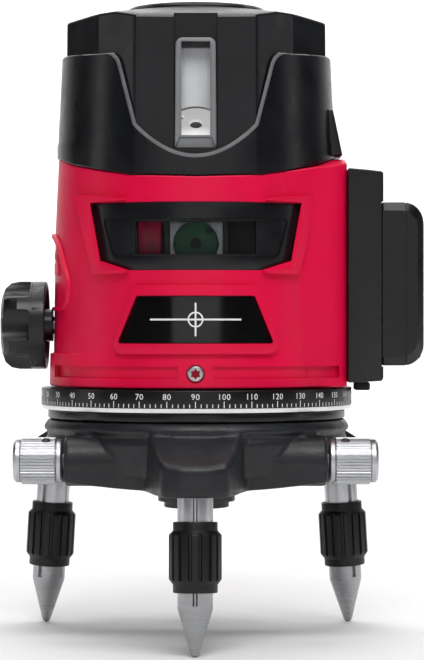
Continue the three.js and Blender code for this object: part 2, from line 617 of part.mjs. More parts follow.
function addBattery() {
  const { face, edge, half, low, top, coverFrom, coverTo, coverLow, coverTop, coverWall } = BATTERY;
  const outline = [
    [face, low], [edge - 1, low], [edge, low + 1], [edge, top - 2], [edge - 2, top], [face, top],
  ];
  const rebate = block([coverFrom - GAP, -40, coverLow - GAP], [80, 40, coverTop + GAP]);
  const box = cut(across(outline, -half, half), rebate, boxOf(BATTERY.room), boxOf(BATTERY.wiring));
  add(machine, "battery_box", box, "blackPlastic");
  const outside = coverBlock(0, coverFrom, coverTo, BATTERY.chamfer);
  const inside = coverBlock(coverWall, coverFrom - 1, coverTo - coverWall, BATTERY.innerChamfer);
  add(machine, "battery_cover", cut(outside, inside), "blackPlastic");
  const { cell, cellLength, cellLow, cellX, cellPitch, button, buttonRise } = BATTERY;
  const cellTop = cellLow + cellLength;
  [-1, 0, 1].forEach((place, index) => {
    const body = turned([
      [0, cellLow], [cell, cellLow], [cell, cellTop], [button, cellTop],
      [button, cellTop + buttonRise], [0, cellTop + buttonRise],
    ], COARSE);
    add(machine, `cell_${index + 1}`, body.translate(cellX, place * cellPitch, 0), "cell");
  });
  add(machine, "power_plug", boxOf(PLUG), "grip");
}

// ---------------------------------------------------------------- levelling works
const pairOf = (azimuth) => [azimuth, azimuth + 180];

function bracketShape() {
  const { z, pin, bracketInner, bracketOuter, bracketHalf, postCircle, post } = GIMBAL;
  const hoop = ring(bracketInner, bracketOuter, z - bracketHalf, z + bracketHalf, MEDIUM);
  const posts = [45, 135, 225, 315].map((azimuth) => disc(post, TURNTABLE.top + GAP, z, COARSE)
    .translate(postCircle, 0, 0).rotateZ(radians(azimuth)));
  const holes = pairOf(0).map((azimuth) => radial(pin + GAP, bracketInner - 4, bracketOuter + 4, z, azimuth));
  return cut(join(hoop, ...posts), ...holes);
}

// The ring between bracket and pendulum: pins along X, holes for the pendulum's pins along Y.
function hoopShape() {
  const { z, inner, outer, half, pin, pinFrom, pinTo } = GIMBAL;
  const pins = pairOf(0).map((azimuth) => radial(pin, pinFrom, pinTo, z, azimuth));
  const holes = pairOf(90).map((azimuth) => radial(pin + GAP, inner - 4, outer + 4, z, azimuth));
  return cut(join(ring(inner, outer, z - half, z + half, MEDIUM), ...pins), ...holes);
}

function pendulumShape() {
  const { plate, plateLow, plateTop, stem, bob, bobLow, bobTop, pinFrom, pinTo } = PENDULUM;
  const column = turned([
    [0, bobLow], [bob, bobLow], [bob, bobTop], [stem, bobTop], [stem, plateLow], [plate, plateLow],
    [plate, plateTop], [0, plateTop],
  ], MEDIUM);
  const blocks = [PENDULUM.cradle, PENDULUM.sideBlock, PENDULUM.arms].map(boxOf);
  const pins = pairOf(90).map((azimuth) => radial(GIMBAL.pin, pinFrom, pinTo, GIMBAL.z, azimuth));
  const plumbBore = disc(PLUMB_MODULE.radius + GAP, bobLow - 1, PLUMB_MODULE.top + GAP, COARSE);
  const levelBore = levelBarrel(LEVEL_LASER.radius + 0.4, LEVEL_LASER.from, 60);
  const pockets = [-1, 1].map((side) => laserBarrel(LASER.radius + GAP, -LASER.length - GAP, 0, side));
  return cut(join(column, ...blocks, ...pins), plumbBore, levelBore, ...pockets);
}

// A barrel that lies along Y at the height of the level line, between two distances in front of the axis.
function levelBarrel(radius, from, to) {
  return disc(radius, from, to, COARSE).rotateX(Math.PI / 2).translate(0, 0, LEVEL_LASER.z);
}

// A barrel on the front (-1) or back (1) whose end at 0 looks out and up at the rake angle.
function laserBarrel(radius, from, to, side) {
  return disc(radius, from, to, COARSE).rotateX(radians(90 - LASER.rake) * -side)
    .translate(0, side * LASER.y, LASER.z);
}

function addGimbal() {
  add(machine, "gimbal_bracket", bracketShape(), "casting");
  add(machine, "gimbal_ring", hoopShape(), "steel");
  add(machine, "pendulum", pendulumShape(), "steel");
  const { beam, radius, low, top } = PLUMB_MODULE;
  add(machine, "plumb_module", ring(beam, radius, low, top, COARSE), "brass");
  const magnet = ring(MAGNET.inner, MAGNET.outer, TURNTABLE.top + GAP, MAGNET.top, MEDIUM);
  add(machine, "damping_magnet", magnet, "steel");
  add(machine, "control_board", boxOf(BOARD), "green");
}

function addLasers() {
  for (const [name, side] of [["line_module_front", -1], ["line_module_back", 1]]) {
    const barrel = laserBarrel(LASER.radius, -LASER.length, 0, side);
    add(machine, name, cut(barrel, laserBarrel(LASER.beam, -6, 2, side)), "brightMetal");
  }
  const { from, to, radius, aperture, apertureFrom } = LEVEL_LASER;
  const module = cut(levelBarrel(radius, from, to), levelBarrel(aperture, apertureFrom, to + 1));
  add(machine, "level_module", module, "green");
}

addBase();
addLegs();
addTangentScrew();
addTurntable();
addShells();
addWindows();
addLock();
addBattery();
addGimbal();
addLasers();

export default level;
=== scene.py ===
"""Self-levelling line laser on a graduated base: the looks of every piece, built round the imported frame."""
import json
from math import asin, atan2, cos, pi, radians, sin, sqrt, tan, tau

import bmesh
import bpy
from bpy.props import FloatProperty, FloatVectorProperty, IntProperty, PointerProperty
from mathutils import Matrix, Vector


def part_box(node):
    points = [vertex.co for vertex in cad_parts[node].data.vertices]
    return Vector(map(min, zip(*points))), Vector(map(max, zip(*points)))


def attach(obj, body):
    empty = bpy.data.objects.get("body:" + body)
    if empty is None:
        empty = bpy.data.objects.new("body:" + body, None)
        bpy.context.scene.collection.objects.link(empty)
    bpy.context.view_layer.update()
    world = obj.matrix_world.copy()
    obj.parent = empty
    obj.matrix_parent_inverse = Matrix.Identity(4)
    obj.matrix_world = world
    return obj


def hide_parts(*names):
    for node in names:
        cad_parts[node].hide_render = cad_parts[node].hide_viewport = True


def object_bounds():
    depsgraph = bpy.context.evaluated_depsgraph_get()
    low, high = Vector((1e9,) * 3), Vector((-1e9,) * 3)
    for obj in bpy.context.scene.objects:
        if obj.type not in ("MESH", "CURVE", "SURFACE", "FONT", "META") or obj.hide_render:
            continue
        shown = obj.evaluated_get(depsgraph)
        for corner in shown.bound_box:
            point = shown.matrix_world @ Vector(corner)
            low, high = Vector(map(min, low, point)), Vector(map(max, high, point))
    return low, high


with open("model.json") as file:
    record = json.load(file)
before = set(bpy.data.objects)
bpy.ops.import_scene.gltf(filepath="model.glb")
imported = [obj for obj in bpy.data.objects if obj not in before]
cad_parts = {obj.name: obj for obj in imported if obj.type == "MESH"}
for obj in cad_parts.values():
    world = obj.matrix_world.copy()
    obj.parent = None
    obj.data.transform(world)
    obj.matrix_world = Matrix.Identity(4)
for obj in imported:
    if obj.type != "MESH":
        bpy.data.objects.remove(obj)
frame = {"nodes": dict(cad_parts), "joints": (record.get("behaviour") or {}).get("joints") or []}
CAD_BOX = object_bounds()

bl_info = {
    "name": "Line laser level",
    "version": (1, 0, 0),
    "blender": (4, 5, 0),
    "location": "3D View > Sidebar > Laser level",
    "description": "Builds a self-levelling line laser piece by piece",
    "category": "Add Mesh",
}

# ---------------------------------------------------------------- places taken from the frame
MM = 0.001
JOINTS = {joint["name"]: joint for joint in frame["joints"]}
LEGS = ("front", "right", "left")
AZIMUTHS = {"front": -90, "right": 30, "left": 150}


def from_axis(point):
    """A place in the frame, in millimetres from the turning axis."""
    return (Vector(point) - AXIS) / MM


def low(node):
    """A CAD node's lowest corner in millimetres from the turning axis."""
    return from_axis(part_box(node)[0])


def high(node):
    """A CAD node's highest corner in millimetres from the turning axis."""
    return from_axis(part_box(node)[1])


SCALE = Matrix.Scale(MM, 4)
AXIS = Vector((*JOINTS["housing_swivel"]["pos_m"][:2], 0))
UPRIGHT = Matrix.Translation(AXIS) @ SCALE


def leg_place(side):
    """The leg's own place: its origin is the foot's point on the ground, Z goes up the leg, X outward."""
    joint = JOINTS[f"leg_nut_{side}_turn"]
    pivot = Vector(joint["pos_m"])
    up = -Vector(joint["axis"]).normalized()
    point = pivot - up * (pivot.z / up.z)
    across = up.cross(point - AXIS).normalized()
    outward = across.cross(up)
    turn = Matrix((outward, across, up)).transposed().to_4x4()
    return Matrix.Translation(point) @ turn @ SCALE


# ---------------------------------------------------------------- sizes and colours a user may change
def length(name, description, default):
    return FloatProperty(name=name, description=description, default=default, min=0, unit="NONE")


def hex_to_linear(code):
    """A linear RGB triple from an sRGB hex code."""
    parts = [int(code[at:at + 2], 16) / 255 for at in (1, 3, 5)]
    return [part / 12.92 if part <= 0.04045 else ((part + 0.055) / 1.055) ** 2.4 for part in parts]


def colour(name, description, code):
    return FloatVectorProperty(
        name=name, description=description, default=hex_to_linear(code), size=3, min=0, max=1,
        subtype="COLOR",
    )


class LEVEL_PG_colours(bpy.types.PropertyGroup):
    red: colour("Shell red", "Colour of the moulded lower shell", "#d8063e")
    black: colour("Head black", "Colour of the skirt, head, cap and battery parts", "#101114")
    # On the tall windows' frames this grey is a painted reflection of the studio; on the buttons it is their
    # own colour.
    frame_grey: colour("Window grey", "Colour of the tall windows' frames", "#7b7c7f")
    casting: colour("Casting black", "Colour of the enamelled base casting", "#1e1f22")
    metal: colour("Bright metal", "Colour of the knobs, sleeves and screws", "#bcbdc0")
    foot: colour("Foot metal", "Colour of the turned feet", "#a2a3a5")
    green: colour("Module green", "Colour of the horizontal module's end plate", "#0fae86")
    floor: colour("Floor", "Colour of the plain floor and backdrop", "#f1f1f1")


class LEVEL_PG_sizes(bpy.types.PropertyGroup):
    wall: length("Wall", "Thickness of the moulded shells in millimetres", 2.2)
    flutes: IntProperty(name="Flutes", description="Flutes round a tangent knob", default=44, min=8)
    ribs: IntProperty(name="Ribs", description="Ribs round a leg nut", default=16, min=6)
    tick: length("Tick width", "Width of a dial mark in millimetres", 0.26)
    numeral: length("Numeral size", "Text size of the dial's numbers in millimetres", 2.75)


# ---------------------------------------------------------------- mesh kit, all in millimetres
def solid(name, points, faces):
    """A closed mesh object with its faces turned outward."""
    mesh = bpy.data.meshes.new(name)
    mesh.from_pydata([tuple(point) for point in points], [], faces)
    work = bmesh.new()
    work.from_mesh(mesh)
    bmesh.ops.recalc_face_normals(work, faces=work.faces)
    work.to_mesh(mesh)
    work.free()
    piece = bpy.data.objects.new(name, mesh)
    bpy.context.scene.collection.objects.link(piece)
    return piece


def filleted(points, radius, closed=True, steps=4):
    """The points with each corner replaced by an arc; radius is one number or one for each point."""
    radii = radius if isinstance(radius, (list, tuple)) else [radius] * len(points)
    result = []
    for at, point in enumerate(points):
        here = Vector(point)
        ends = not closed and at in (0, len(points) - 1)
        back = Vector(points[at - 1]) - here
        ahead = Vector(points[(at + 1) % len(points)]) - here
        if ends or radii[at] == 0 or back.length == 0 or ahead.length == 0:
            result.append(tuple(here))
            continue
        half = back.angle(ahead) / 2
        if half > pi / 2 - 0.01 or half < 0.01:
            result.append(tuple(here))
            continue
        reach = min(radii[at] / tan(half), 0.48 * back.length, 0.48 * ahead.length)
        arc = reach * tan(half)
        centre = here + (back.normalized() + ahead.normalized()).normalized() * (arc / sin(half))
        start = here + back.normalized() * reach - centre
        end = here + ahead.normalized() * reach - centre
        sweep = atan2(start.x * end.y - start.y * end.x, start.dot(end))
        for step in range(steps + 1):
            turned_by = Matrix.Rotation(sweep * step / steps, 2)
            result.append(tuple(centre + turned_by @ start))
    return result


def ringed(name, rings, capped=False):
    """A solid through rings of points, joined end to end or capped at both ends. A ring may be one point."""
    points = [point for ring in rings for point in ring]
    starts = [sum(len(ring) for ring in rings[:at]) for at in range(len(rings))]
    count = max(len(ring) for ring in rings)
    faces = []
    pairs = list(zip(range(len(rings)), range(1, len(rings))))
    if not capped:
        pairs.append((len(rings) - 1, 0))
    for a, b in pairs:
        for at in range(count):
            after = (at + 1) % count
            first = [starts[a]] if len(rings[a]) == 1 else [starts[a] + at, starts[a] + after]
            second = [starts[b]] if len(rings[b]) == 1 else [starts[b] + after, starts[b] + at]
            if len(first) + len(second) > 2:
                faces.append(first + second)
    if capped:
        for a in (0, len(rings) - 1):
            if len(rings[a]) > 2:
                faces.append([starts[a] + at for at in range(count)])
    return solid(name, points, faces)


def turned(name, profile, segments=96, rounding=0.0, steps=3):
    """A solid of revolution about Z. The (radius, height) points end on the axis or close on themselves."""
    on_axis = profile[0][0] == 0 and profile[-1][0] == 0
    line = filleted(profile, rounding, closed=not on_axis, steps=steps)
    rings = []
    for radius, height in line:
        if radius < 1e-6:
            rings.append([(0, 0, height)])
        else:
            angles = [tau * at / segments for at in range(segments)]
            rings.append([(radius * cos(a), radius * sin(a), height) for a in angles])
    return ringed(name, rings, capped=on_axis)


def tube(name, inner, outer, bottom, top, rounding=0.0, segments=96):
    return turned(name, [(inner, bottom), (outer, bottom), (outer, top), (inner, top)], segments, rounding)


def rod(name, radius, bottom, top, rounding=0.0, segments=48):
    return turned(name, [(0, bottom), (radius, bottom), (radius, top), (0, top)], segments, rounding)


def loft(name, first, second, bottom, top):
    """A solid between two outlines of as many points, in the XY plane, at two heights."""
    return ringed(name, [[(x, y, bottom) for x, y in first], [(x, y, top) for x, y in second]], capped=True)


def prism(name, outline, bottom, top):
    return loft(name, outline, outline, bottom, top)


def facing(piece):
    """Turns a shape that is drawn in XY and raised along Z: drawn in XZ, raised towards the front."""
    piece.data.transform(Matrix.Rotation(pi / 2, 4, "X"))
    return piece


def plate(name, outline, near, far):
    """A shape drawn in XZ that stands between two distances in front of the axis."""
    return facing(prism(name, outline, near, far))


def mirrored(outline):
    return [(-x, y) for x, y in reversed(outline)]


def block(name, corner, opposite):
    (x0, y0, z0), (x1, y1, z1) = corner, opposite
    return prism(name, [(x0, y0), (x1, y0), (x1, y1), (x0, y1)], z0, z1)


def bake(piece):
    """Applies the modifiers on a piece."""
    graph = bpy.context.evaluated_depsgraph_get()
    fresh = bpy.data.meshes.new_from_object(piece.evaluated_get(graph))
    old = piece.data
    piece.modifiers.clear()
    piece.data = fresh
    bpy.data.meshes.remove(old)
    return piece


def discard(piece):
    mesh = piece.data
    bpy.data.objects.remove(piece)
    bpy.data.meshes.remove(mesh)


def combine(piece, operation, tools):
    for tool in tools:
        change = piece.modifiers.new("combine", "BOOLEAN")
        change.operation = operation
        change.solver = "MANIFOLD"
        change.object = tool
        bake(piece)
        discard(tool)
    return piece


def cut(piece, *tools):
    return combine(piece, "DIFFERENCE", tools)


def join(piece, *tools):
    return combine(piece, "UNION", tools)


def overlap(piece, *tools):
    return combine(piece, "INTERSECT", tools)


def bevelled(piece, width, steps=2, angle=35):
    """Rounds the edges sharper than the angle."""
    change = piece.modifiers.new("edges", "BEVEL")
    change.width = width
    change.segments = steps
    change.limit_method = "ANGLE"
    change.angle_limit = radians(angle)
    change.use_clamp_overlap = True
    return bake(piece)


def moved(piece, x=0.0, y=0.0, z=0.0, turn=0.0, axis="Z"):
    """Turns a piece about an axis through the origin, in degrees, and then moves it."""
    piece.data.transform(Matrix.Translation((x, y, z)) @ Matrix.Rotation(radians(turn), 4, axis))
    return piece


def settle(piece, place, body, finish, nodes=(), sharp=32):
    """Puts a finished piece in its place in metres, on its body, with its finish."""
    mesh = piece.data
    mesh.transform(place)
    mesh.shade_smooth()
    mesh.set_sharp_from_angle(angle=radians(sharp))
    mesh.materials.clear()
    mesh.materials.append(finish)
    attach(piece, body)
    if nodes:
        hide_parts(*nodes)
    return piece


def repaint(nodes, finish):
    """Gives CAD nodes whose shape is right a better finish."""
    for node in nodes:
        mesh = frame["nodes"][node].data
        mesh.materials.clear()
        mesh.materials.append(finish)


def smooth(value, start, end):
    """A smooth rise from 0 at start to 1 at end."""
    share = min(max((value - start) / (end - start), 0), 1)
    return share * share * (3 - 2 * share)


def blend(values):
    """The straight line through a table of (place, value) pairs, as a function."""
    def read(at):
        for (a, first), (b, second) in zip(values, values[1:]):
            if at <= b:
                share = (at - a) / (b - a) if at > a else 0
                return first + (second - first) * share
        return values[-1][1]
    return read


# ---------------------------------------------------------------- material kit
def add_node(tree, kind, attributes=None, values=None, links=None):
    """Adds one node with its attributes, its socket values and the links into its sockets."""
    node = tree.nodes.new(kind)
    for name, value in (attributes or {}).items():
        setattr(node, name, value)
    for socket, value in (values or {}).items():
        node.inputs[socket].default_value = value
    for socket, source in (links or {}).items():
        tree.links.new(source, node.inputs[socket])
    return node


class Surface:
    """A Principled material whose patterns are laid out in millimetres of the real object."""

    def __init__(self, name, tint, roughness, metallic=0.0, **sockets):
        self.material = bpy.data.materials.new(name)
        self.material.use_nodes = True
        self.tree = self.material.node_tree
        self.shader = self.tree.nodes["Principled BSDF"]
        self.tint = (*tint, 1.0)
        self.shader.inputs["Base Color"].default_value = self.tint
        self.shader.inputs["Roughness"].default_value = roughness
        self.shader.inputs["Metallic"].default_value = metallic
        for socket, value in sockets.items():
            self.shader.inputs[socket.replace("_", " ")].default_value = value
        place = self.add("ShaderNodeTexCoord").outputs["Object"]
        self.place = self.scaled(place, (1 / MM, 1 / MM, 1 / MM))
        self.relief = None

    def add(self, kind, attributes=None, values=None, links=None):
        return add_node(self.tree, kind, attributes, values, links)

    def scaled(self, place, scale):
        return self.add("ShaderNodeMapping", values={"Scale": scale}, links={"Vector": place}).outputs[0]

    def noise(self, size, detail=3.0, stretch=(1, 1, 1)):
        """Noise whose features are size millimetres across, stretched along the axes given."""
        values = {"Scale": 1 / size, "Detail": detail}
        links = {"Vector": self.scaled(self.place, stretch)}
        return self.add("ShaderNodeTexNoise", values=values, links=links).outputs["Fac"]

    def shades(self, pattern, dark, light, start=0.3, end=0.7):
        """Varies the base colour between two strengths of the tint along a pattern."""
        ramp = self.add("ShaderNodeValToRGB", links={"Fac": pattern})
        ends = ramp.color_ramp.elements
        for stop, place, strength in ((ends[0], start, dark), (ends[1], end, light)):
            stop.position = place
            stop.color = (*[min(part * strength, 1) for part in self.tint[:3]], 1)
        self.tree.links.new(ramp.outputs[0], self.shader.inputs["Base Color"])

    def polish(self, pattern, smoothest, roughest):
        """Varies the roughness between two values along a pattern."""
        change = {"From Min": 0.3, "From Max": 0.7, "To Min": smoothest, "To Max": roughest}
        spread = self.add("ShaderNodeMapRange", values=change, links={"Value": pattern})
        self.tree.links.new(spread.outputs[0], self.shader.inputs["Roughness"])

    def grain(self, pattern, depth):
        """Adds relief of a depth in millimetres along a pattern."""
        links = {"Height": pattern}
        if self.relief:
            links["Normal"] = self.relief
        bump = self.add("ShaderNodeBump", values={"Strength": 1.0, "Distance": depth * MM}, links=links)
        self.relief = bump.outputs[0]
        self.tree.links.new(self.relief, self.shader.inputs["Normal"])


def colours():
    return bpy.context.scene.level_colours


def sizes():
    return bpy.context.scene.level_sizes


def once(build):
    """Makes a material the first time it is asked for."""
    def ask():
        name = build.__name__
        return bpy.data.materials.get(name) or build(name).material
    return ask


@once
def moulded_abs_red(name):
    """Red ABS, injection moulded with a fine spark-eroded skin: even colour, soft wide highlights."""
    red = Surface(name, colours().red, 0.4, IOR=1.54, Specular_IOR_Level=0.2)
    red.shades(red.noise(24), 0.93, 1.05)
    red.polish(red.noise(9), 0.36, 0.44)
    red.grain(red.noise(0.35, 2), 0.012)
    red.grain(red.noise(14, 1), 0.05)
    return red


@once
def moulded_abs_black(name):
    """Black ABS with a satin skin: nearly black where it faces the room, grey where a softbox grazes it."""
    black = Surface(name, colours().black, 0.3, IOR=1.54, Specular_IOR_Level=0.32)
    black.shades(black.noise(18), 0.8, 1.25)
    black.polish(black.noise(7), 0.26, 0.34)
    return black


@once
def moulded_abs_edge(name):
    """The same black ABS on the chamfer round the cut-out, light grey as a painted highlight along its edge.
    """
    edge = Surface(name, hex_to_linear("#6f7072"), 0.38, IOR=1.54)
    edge.shades(edge.noise(5), 0.85, 1.15)
    edge.grain(edge.noise(0.3, 2), 0.01)
    return edge


@once
def polished_acrylic_black(name):
    """Black acrylic, polished in the mould: mirror-like, with a very faint waviness."""
    gloss = Surface(name, hex_to_linear("#0a0a0c"), 0.12, IOR=1.49)
    gloss.polish(gloss.noise(12), 0.09, 0.16)
    gloss.grain(gloss.noise(22, 1), 0.03)
    return gloss


@once
def textured_nylon_grip(name):
    """Black glass-filled nylon with a sandy moulded texture: matt, with a dusty light bloom."""
    nylon = Surface(name, hex_to_linear("#0a0b0c"), 0.45, IOR=1.53, Specular_IOR_Level=0.35)
    nylon.shades(nylon.noise(0.8), 0.7, 1.3)
    nylon.grain(nylon.noise(0.25, 2), 0.03)
    return nylon


@once
def moulded_abs_grey(name):
    """Grey ABS with a satin skin, as the buttons have; on the tall windows' frames this grey is a painted
    reflection.
    """
    grey = Surface(name, colours().frame_grey, 0.42, IOR=1.54)
    grey.shades(grey.noise(6), 0.92, 1.08)
    grey.grain(grey.noise(0.3, 2), 0.01)
    return grey


@once
def enamelled_casting(name):
    """Die-cast aluminium under baked black enamel: slight orange peel, low sheen, rubbed lighter patches."""
    enamel = Surface(name, colours().casting, 0.4, IOR=1.5, Specular_IOR_Level=0.36)
    enamel.shades(enamel.noise(11, 5), 0.7, 1.3)
    enamel.polish(enamel.noise(4), 0.34, 0.48)
    enamel.grain(enamel.noise(0.8, 3), 0.09)
    enamel.grain(enamel.noise(7, 2), 0.15)
    return enamel


@once
def plated_turned_metal(name):
    """Turned metal under matt nickel: bright and even, with a very slight cloudiness."""
    plate = Surface(name, colours().metal, 0.36, metallic=1.0)
    plate.shades(plate.noise(5), 0.95, 1.03)
    plate.polish(plate.noise(2), 0.33, 0.4)
    return plate


@once
def turned_steel_foot(name):
    """Steel turned to a point and ground: smooth, grey, with faint tool rings round the cone."""
    steel = Surface(name, colours().foot, 0.3, metallic=1.0)
    rings = steel.noise(0.6, 1, stretch=(0.02, 0.02, 1))
    steel.shades(rings, 0.93, 1.03)
    steel.polish(rings, 0.26, 0.34)
    return steel


@once
def machined_steel(name):
    """Machined steel of the inner works, lightly oiled."""
    steel = Surface(name, hex_to_linear("#8e9094"), 0.32, metallic=1.0)
    steel.shades(steel.noise(1.2, 4), 0.8, 1.1)
    steel.grain(steel.noise(0.3, 2), 0.006)
    return steel


@once
def machined_brass(name):
    """Machined brass, slightly dulled."""
    brass = Surface(name, hex_to_linear("#b8923f"), 0.32, metallic=1.0)
    brass.shades(brass.noise(4, 4), 0.75, 1.1)
    brass.grain(brass.noise(0.4, 2), 0.006)
    return brass


@once
def anodised_dial(name):
    """Black anodised aluminium: satin, slightly lighter than the plastic beside it."""
    dial = Surface(name, hex_to_linear("#0c0d0f"), 0.32, IOR=1.5, Specular_IOR_Level=0.35)
    dial.shades(dial.noise(6), 0.8, 1.2)
    dial.grain(dial.noise(0.4, 2, stretch=(1, 1, 0.1)), 0.006)
    return dial


@once
def diamond_cut_aluminium(name):
    """The dial's bevel, cut through the anodising with a diamond tool: bright, with faint clouds."""
    bright = Surface(name, hex_to_linear("#e4e4e6"), 0.32, metallic=1.0)
    bright.shades(bright.noise(3, 3), 0.9, 1.0)
    return bright


@once
def screened_white_ink(name):
    """White epoxy ink, screen printed: flat and matt, a little uneven in density."""
    ink = Surface(name, hex_to_linear("#e9eaec"), 0.6, IOR=1.5)
    ink.shades(ink.noise(0.6), 0.88, 1.0)
    return ink


@once
def float_glass(name):
    """Clear window glass with a slight haze: thin coverage lets the light in to what stands behind it."""
    glass = Surface(name, (0.05, 0.055, 0.055), 0.03, IOR=1.5, Alpha=0.04)
    glass.grain(glass.noise(30, 1), 0.01)
    return glass


@once
def vial_liquid_glass(name):
    """Acrylic bubble vial filled with green-yellow spirit."""
    vial = Surface(name, hex_to_linear("#b7d64a"), 0.05, IOR=1.47)
    vial.shader.inputs["Transmission Weight"].default_value = 0.85
    vial.shades(vial.noise(5), 0.9, 1.05)
    return vial


@once
def pale_screen(name):
    """Pale grey ABS of the screens behind the tall windows, matt and evenly lit."""
    screen = Surface(name, hex_to_linear("#dcdde0"), 0.6, IOR=1.54)
    screen.shades(screen.noise(12), 0.96, 1.0)
    return screen


@once
def white_enamel(name):
    """White enamel of the line module's end plate; its faint glow stands in for scattered light."""
    glow = {"Emission_Color": (1, 1, 1, 1), "Emission_Strength": 0.45}
    white = Surface(name, hex_to_linear("#fafbfc"), 0.35, IOR=1.5, **glow)
    white.shades(white.noise(5), 0.96, 1.0)
    return white


@once
def green_enamel(name):
    """Green enamel of the horizontal module; its faint glow stands in for light scattered in the window."""
    glow = {"Emission_Color": (0, 0.4, 0.26, 1), "Emission_Strength": 0.4}
    green = Surface(name, colours().green, 0.6, IOR=1.5, Specular_IOR_Level=0.1, **glow)
    green.shades(green.noise(3), 0.85, 1.15)
    green.grain(green.noise(0.5, 2), 0.01)
    return green


@once
def tinted_red_acrylic(name):
    """Dark red tinted acrylic of the beam guard, mottled with painted shade and light for the works behind
    it.
    """
    guard = Surface(name, hex_to_linear("#b5003c"), 0.3, IOR=1.49, Specular_IOR_Level=0.2)
    guard.shades(guard.noise(2.6, 3), 0.5, 1.15)
    return guard


@once
def moulded_rubber(name):
    """Black rubber with a matt moulded skin."""
    rubber = Surface(name, hex_to_linear("#121315"), 0.7, IOR=1.52)
    rubber.shades(rubber.noise(2), 0.8, 1.3)
    rubber.grain(rubber.noise(0.4, 2), 0.02)
    return rubber


@once
def solder_mask(name):
    """Green solder mask over copper tracks."""
    mask = Surface(name, hex_to_linear("#1c6a3c"), 0.3, IOR=1.5)
    mask.shades(mask.noise(1.5, 4, stretch=(1, 1, 0.2)), 0.7, 1.1)
    return mask


@once
def printed_cell_wrap(name):
    """Plain shrink-wrapped steel can of a battery cell."""
    wrap = Surface(name, hex_to_linear("#3c4a55"), 0.3, IOR=1.5)
    wrap.shades(wrap.noise(8), 0.85, 1.1)
    return wrap


@once
def matt_backdrop_paper(name):
    """Pale seamless backdrop paper under the studio's lights."""
    paper = Surface(name, colours().floor, 0.8, IOR=1.45)
    paper.shades(paper.noise(90), 0.99, 1.0)
    return paper


# ---------------------------------------------------------------- operators
class Builder:
    """What every operator here shares."""
    bl_options = {"REGISTER", "UNDO"}


# height and distance in millimetres, lens and sensor width in millimetres, drop as a share of the view
CAMERA = {"height": 107.1, "distance": 837.0, "lens": 131.0, "sensor": 36.0, "drop": 5 / 660}


class LEVEL_OT_stage(Builder, bpy.types.Operator):
    """Floor and backdrop sweep, seven soft lights, the room's air and the camera"""
    bl_idname = "level.stage"
    bl_label = "Stage"

    def execute(self, context):
        self.backdrop()
        self.light("key_softbox", 8.0, (-0.06, -0.85, 1.1), (0.55, 0.5))
        self.light("front_softbox", 1.3, (0.0, -1.3, 0.3), (0.9, 0.6))
        self.light("fill_softbox", 4.0, (0.45, -0.7, 1.0), (0.5, 0.5))
        self.light("top_softbox", 6.0, (0.0, 0.1, 1.1), (0.9, 0.7))
        self.light("left_strip", 0.5, (-0.85, -0.05, 0.2), (0.12, 0.6))
        self.light("right_strip", 0.4, (0.85, -0.05, 0.2), (0.12, 0.6))
        self.light("backdrop_wash", 60.0, (0, 1.3, 1.9), (3.0, 0.6), (0, 2.5, 0.4))
        self.air(context)
        self.camera(context)
        context.scene.view_settings.view_transform = "Standard"
        return {"FINISHED"}

    def air(self, context):
        """The room: dim at the sides, so that dark pieces keep their contrast, and lighter elsewhere."""
        world = bpy.data.worlds.new("studio_air")
        context.scene.world = world
        world.use_nodes = True
        tree = world.node_tree
        direction = add_node(tree, "ShaderNodeTexCoord").outputs["Generated"]
        across = add_node(tree, "ShaderNodeSeparateXYZ", links={"Vector": direction}).outputs["X"]
        width = add_node(tree, "ShaderNodeMath", {"operation": "ABSOLUTE"}, links={0: across}).outputs[0]
        change = {"From Min": 0.25, "From Max": 0.8, "To Min": 0.4, "To Max": 0.12}
        fade = add_node(tree, "ShaderNodeMapRange", values=change, links={"Value": width})
        tree.links.new(fade.outputs[0], tree.nodes["Background"].inputs["Strength"])

    def backdrop(self):
        """A sheet of paper that runs under the object and curves up behind it."""
        near, far, side, rise, bend, steps = -2500, 2600, 3500, 3000, 900, 12
        line = [(near, 0), (far - bend, 0)]
        for step in range(1, steps + 1):
            angle = pi / 2 * step / steps
            line.append((far - bend + bend * sin(angle), bend - bend * cos(angle)))
        line.append((far, rise))
        points = [(x, y, z) for x in (-side, side) for y, z in line]
        count = len(line)
        faces = [(at, at + 1, at + 1 + count, at + count) for at in range(count - 1)]
        sheet = solid("backdrop_sweep", points, faces)
        sheet.data.transform(SCALE)
        sheet.data.shade_smooth()
        sheet.data.materials.append(matt_backdrop_paper())

    def light(self, name, power, place, size, target=(0, 0, 0.12)):
        data = bpy.data.lights.new(name, "AREA")
        data.shape = "RECTANGLE"
        data.size, data.size_y = size
        data.energy = power
        lamp = bpy.data.objects.new(name, data)
        lamp.location = place
        aim = Vector(target) - Vector(place)
        lamp.rotation_euler = aim.to_track_quat("-Z", "Y").to_euler()
        bpy.context.scene.collection.objects.link(lamp)

    def camera(self, context):
        data = bpy.data.cameras.new("camera")
        data.lens = CAMERA["lens"]
        data.sensor_width = CAMERA["sensor"]
        data.shift_y = -CAMERA["drop"]
        camera = bpy.data.objects.new("camera", data)
        middle = (Vector(CAD_BOX[0]) + Vector(CAD_BOX[1])) / 2
        camera.location = (middle.x, AXIS.y - CAMERA["distance"] * MM, CAMERA["height"] * MM)
        camera.rotation_euler = (pi / 2, 0, 0)
        context.scene.collection.objects.link(camera)
        context.scene.camera = camera


def cast(piece, grain, passes):
    """Melts joined shapes into one skin with the soft inner corners of a casting."""
    change = piece.modifiers.new("melt", "REMESH")
    change.mode = "VOXEL"
    change.voxel_size = grain
    bake(piece)
    change = piece.modifiers.new("flow", "SMOOTH")
    change.factor = 0.6
    change.iterations = passes
    bake(piece)
    return piece


def thinned(piece, share):
    """Keeps that share of a dense skin's triangles."""
    change = piece.modifiers.new("thin", "DECIMATE")
    change.ratio = share
    return bake(piece)


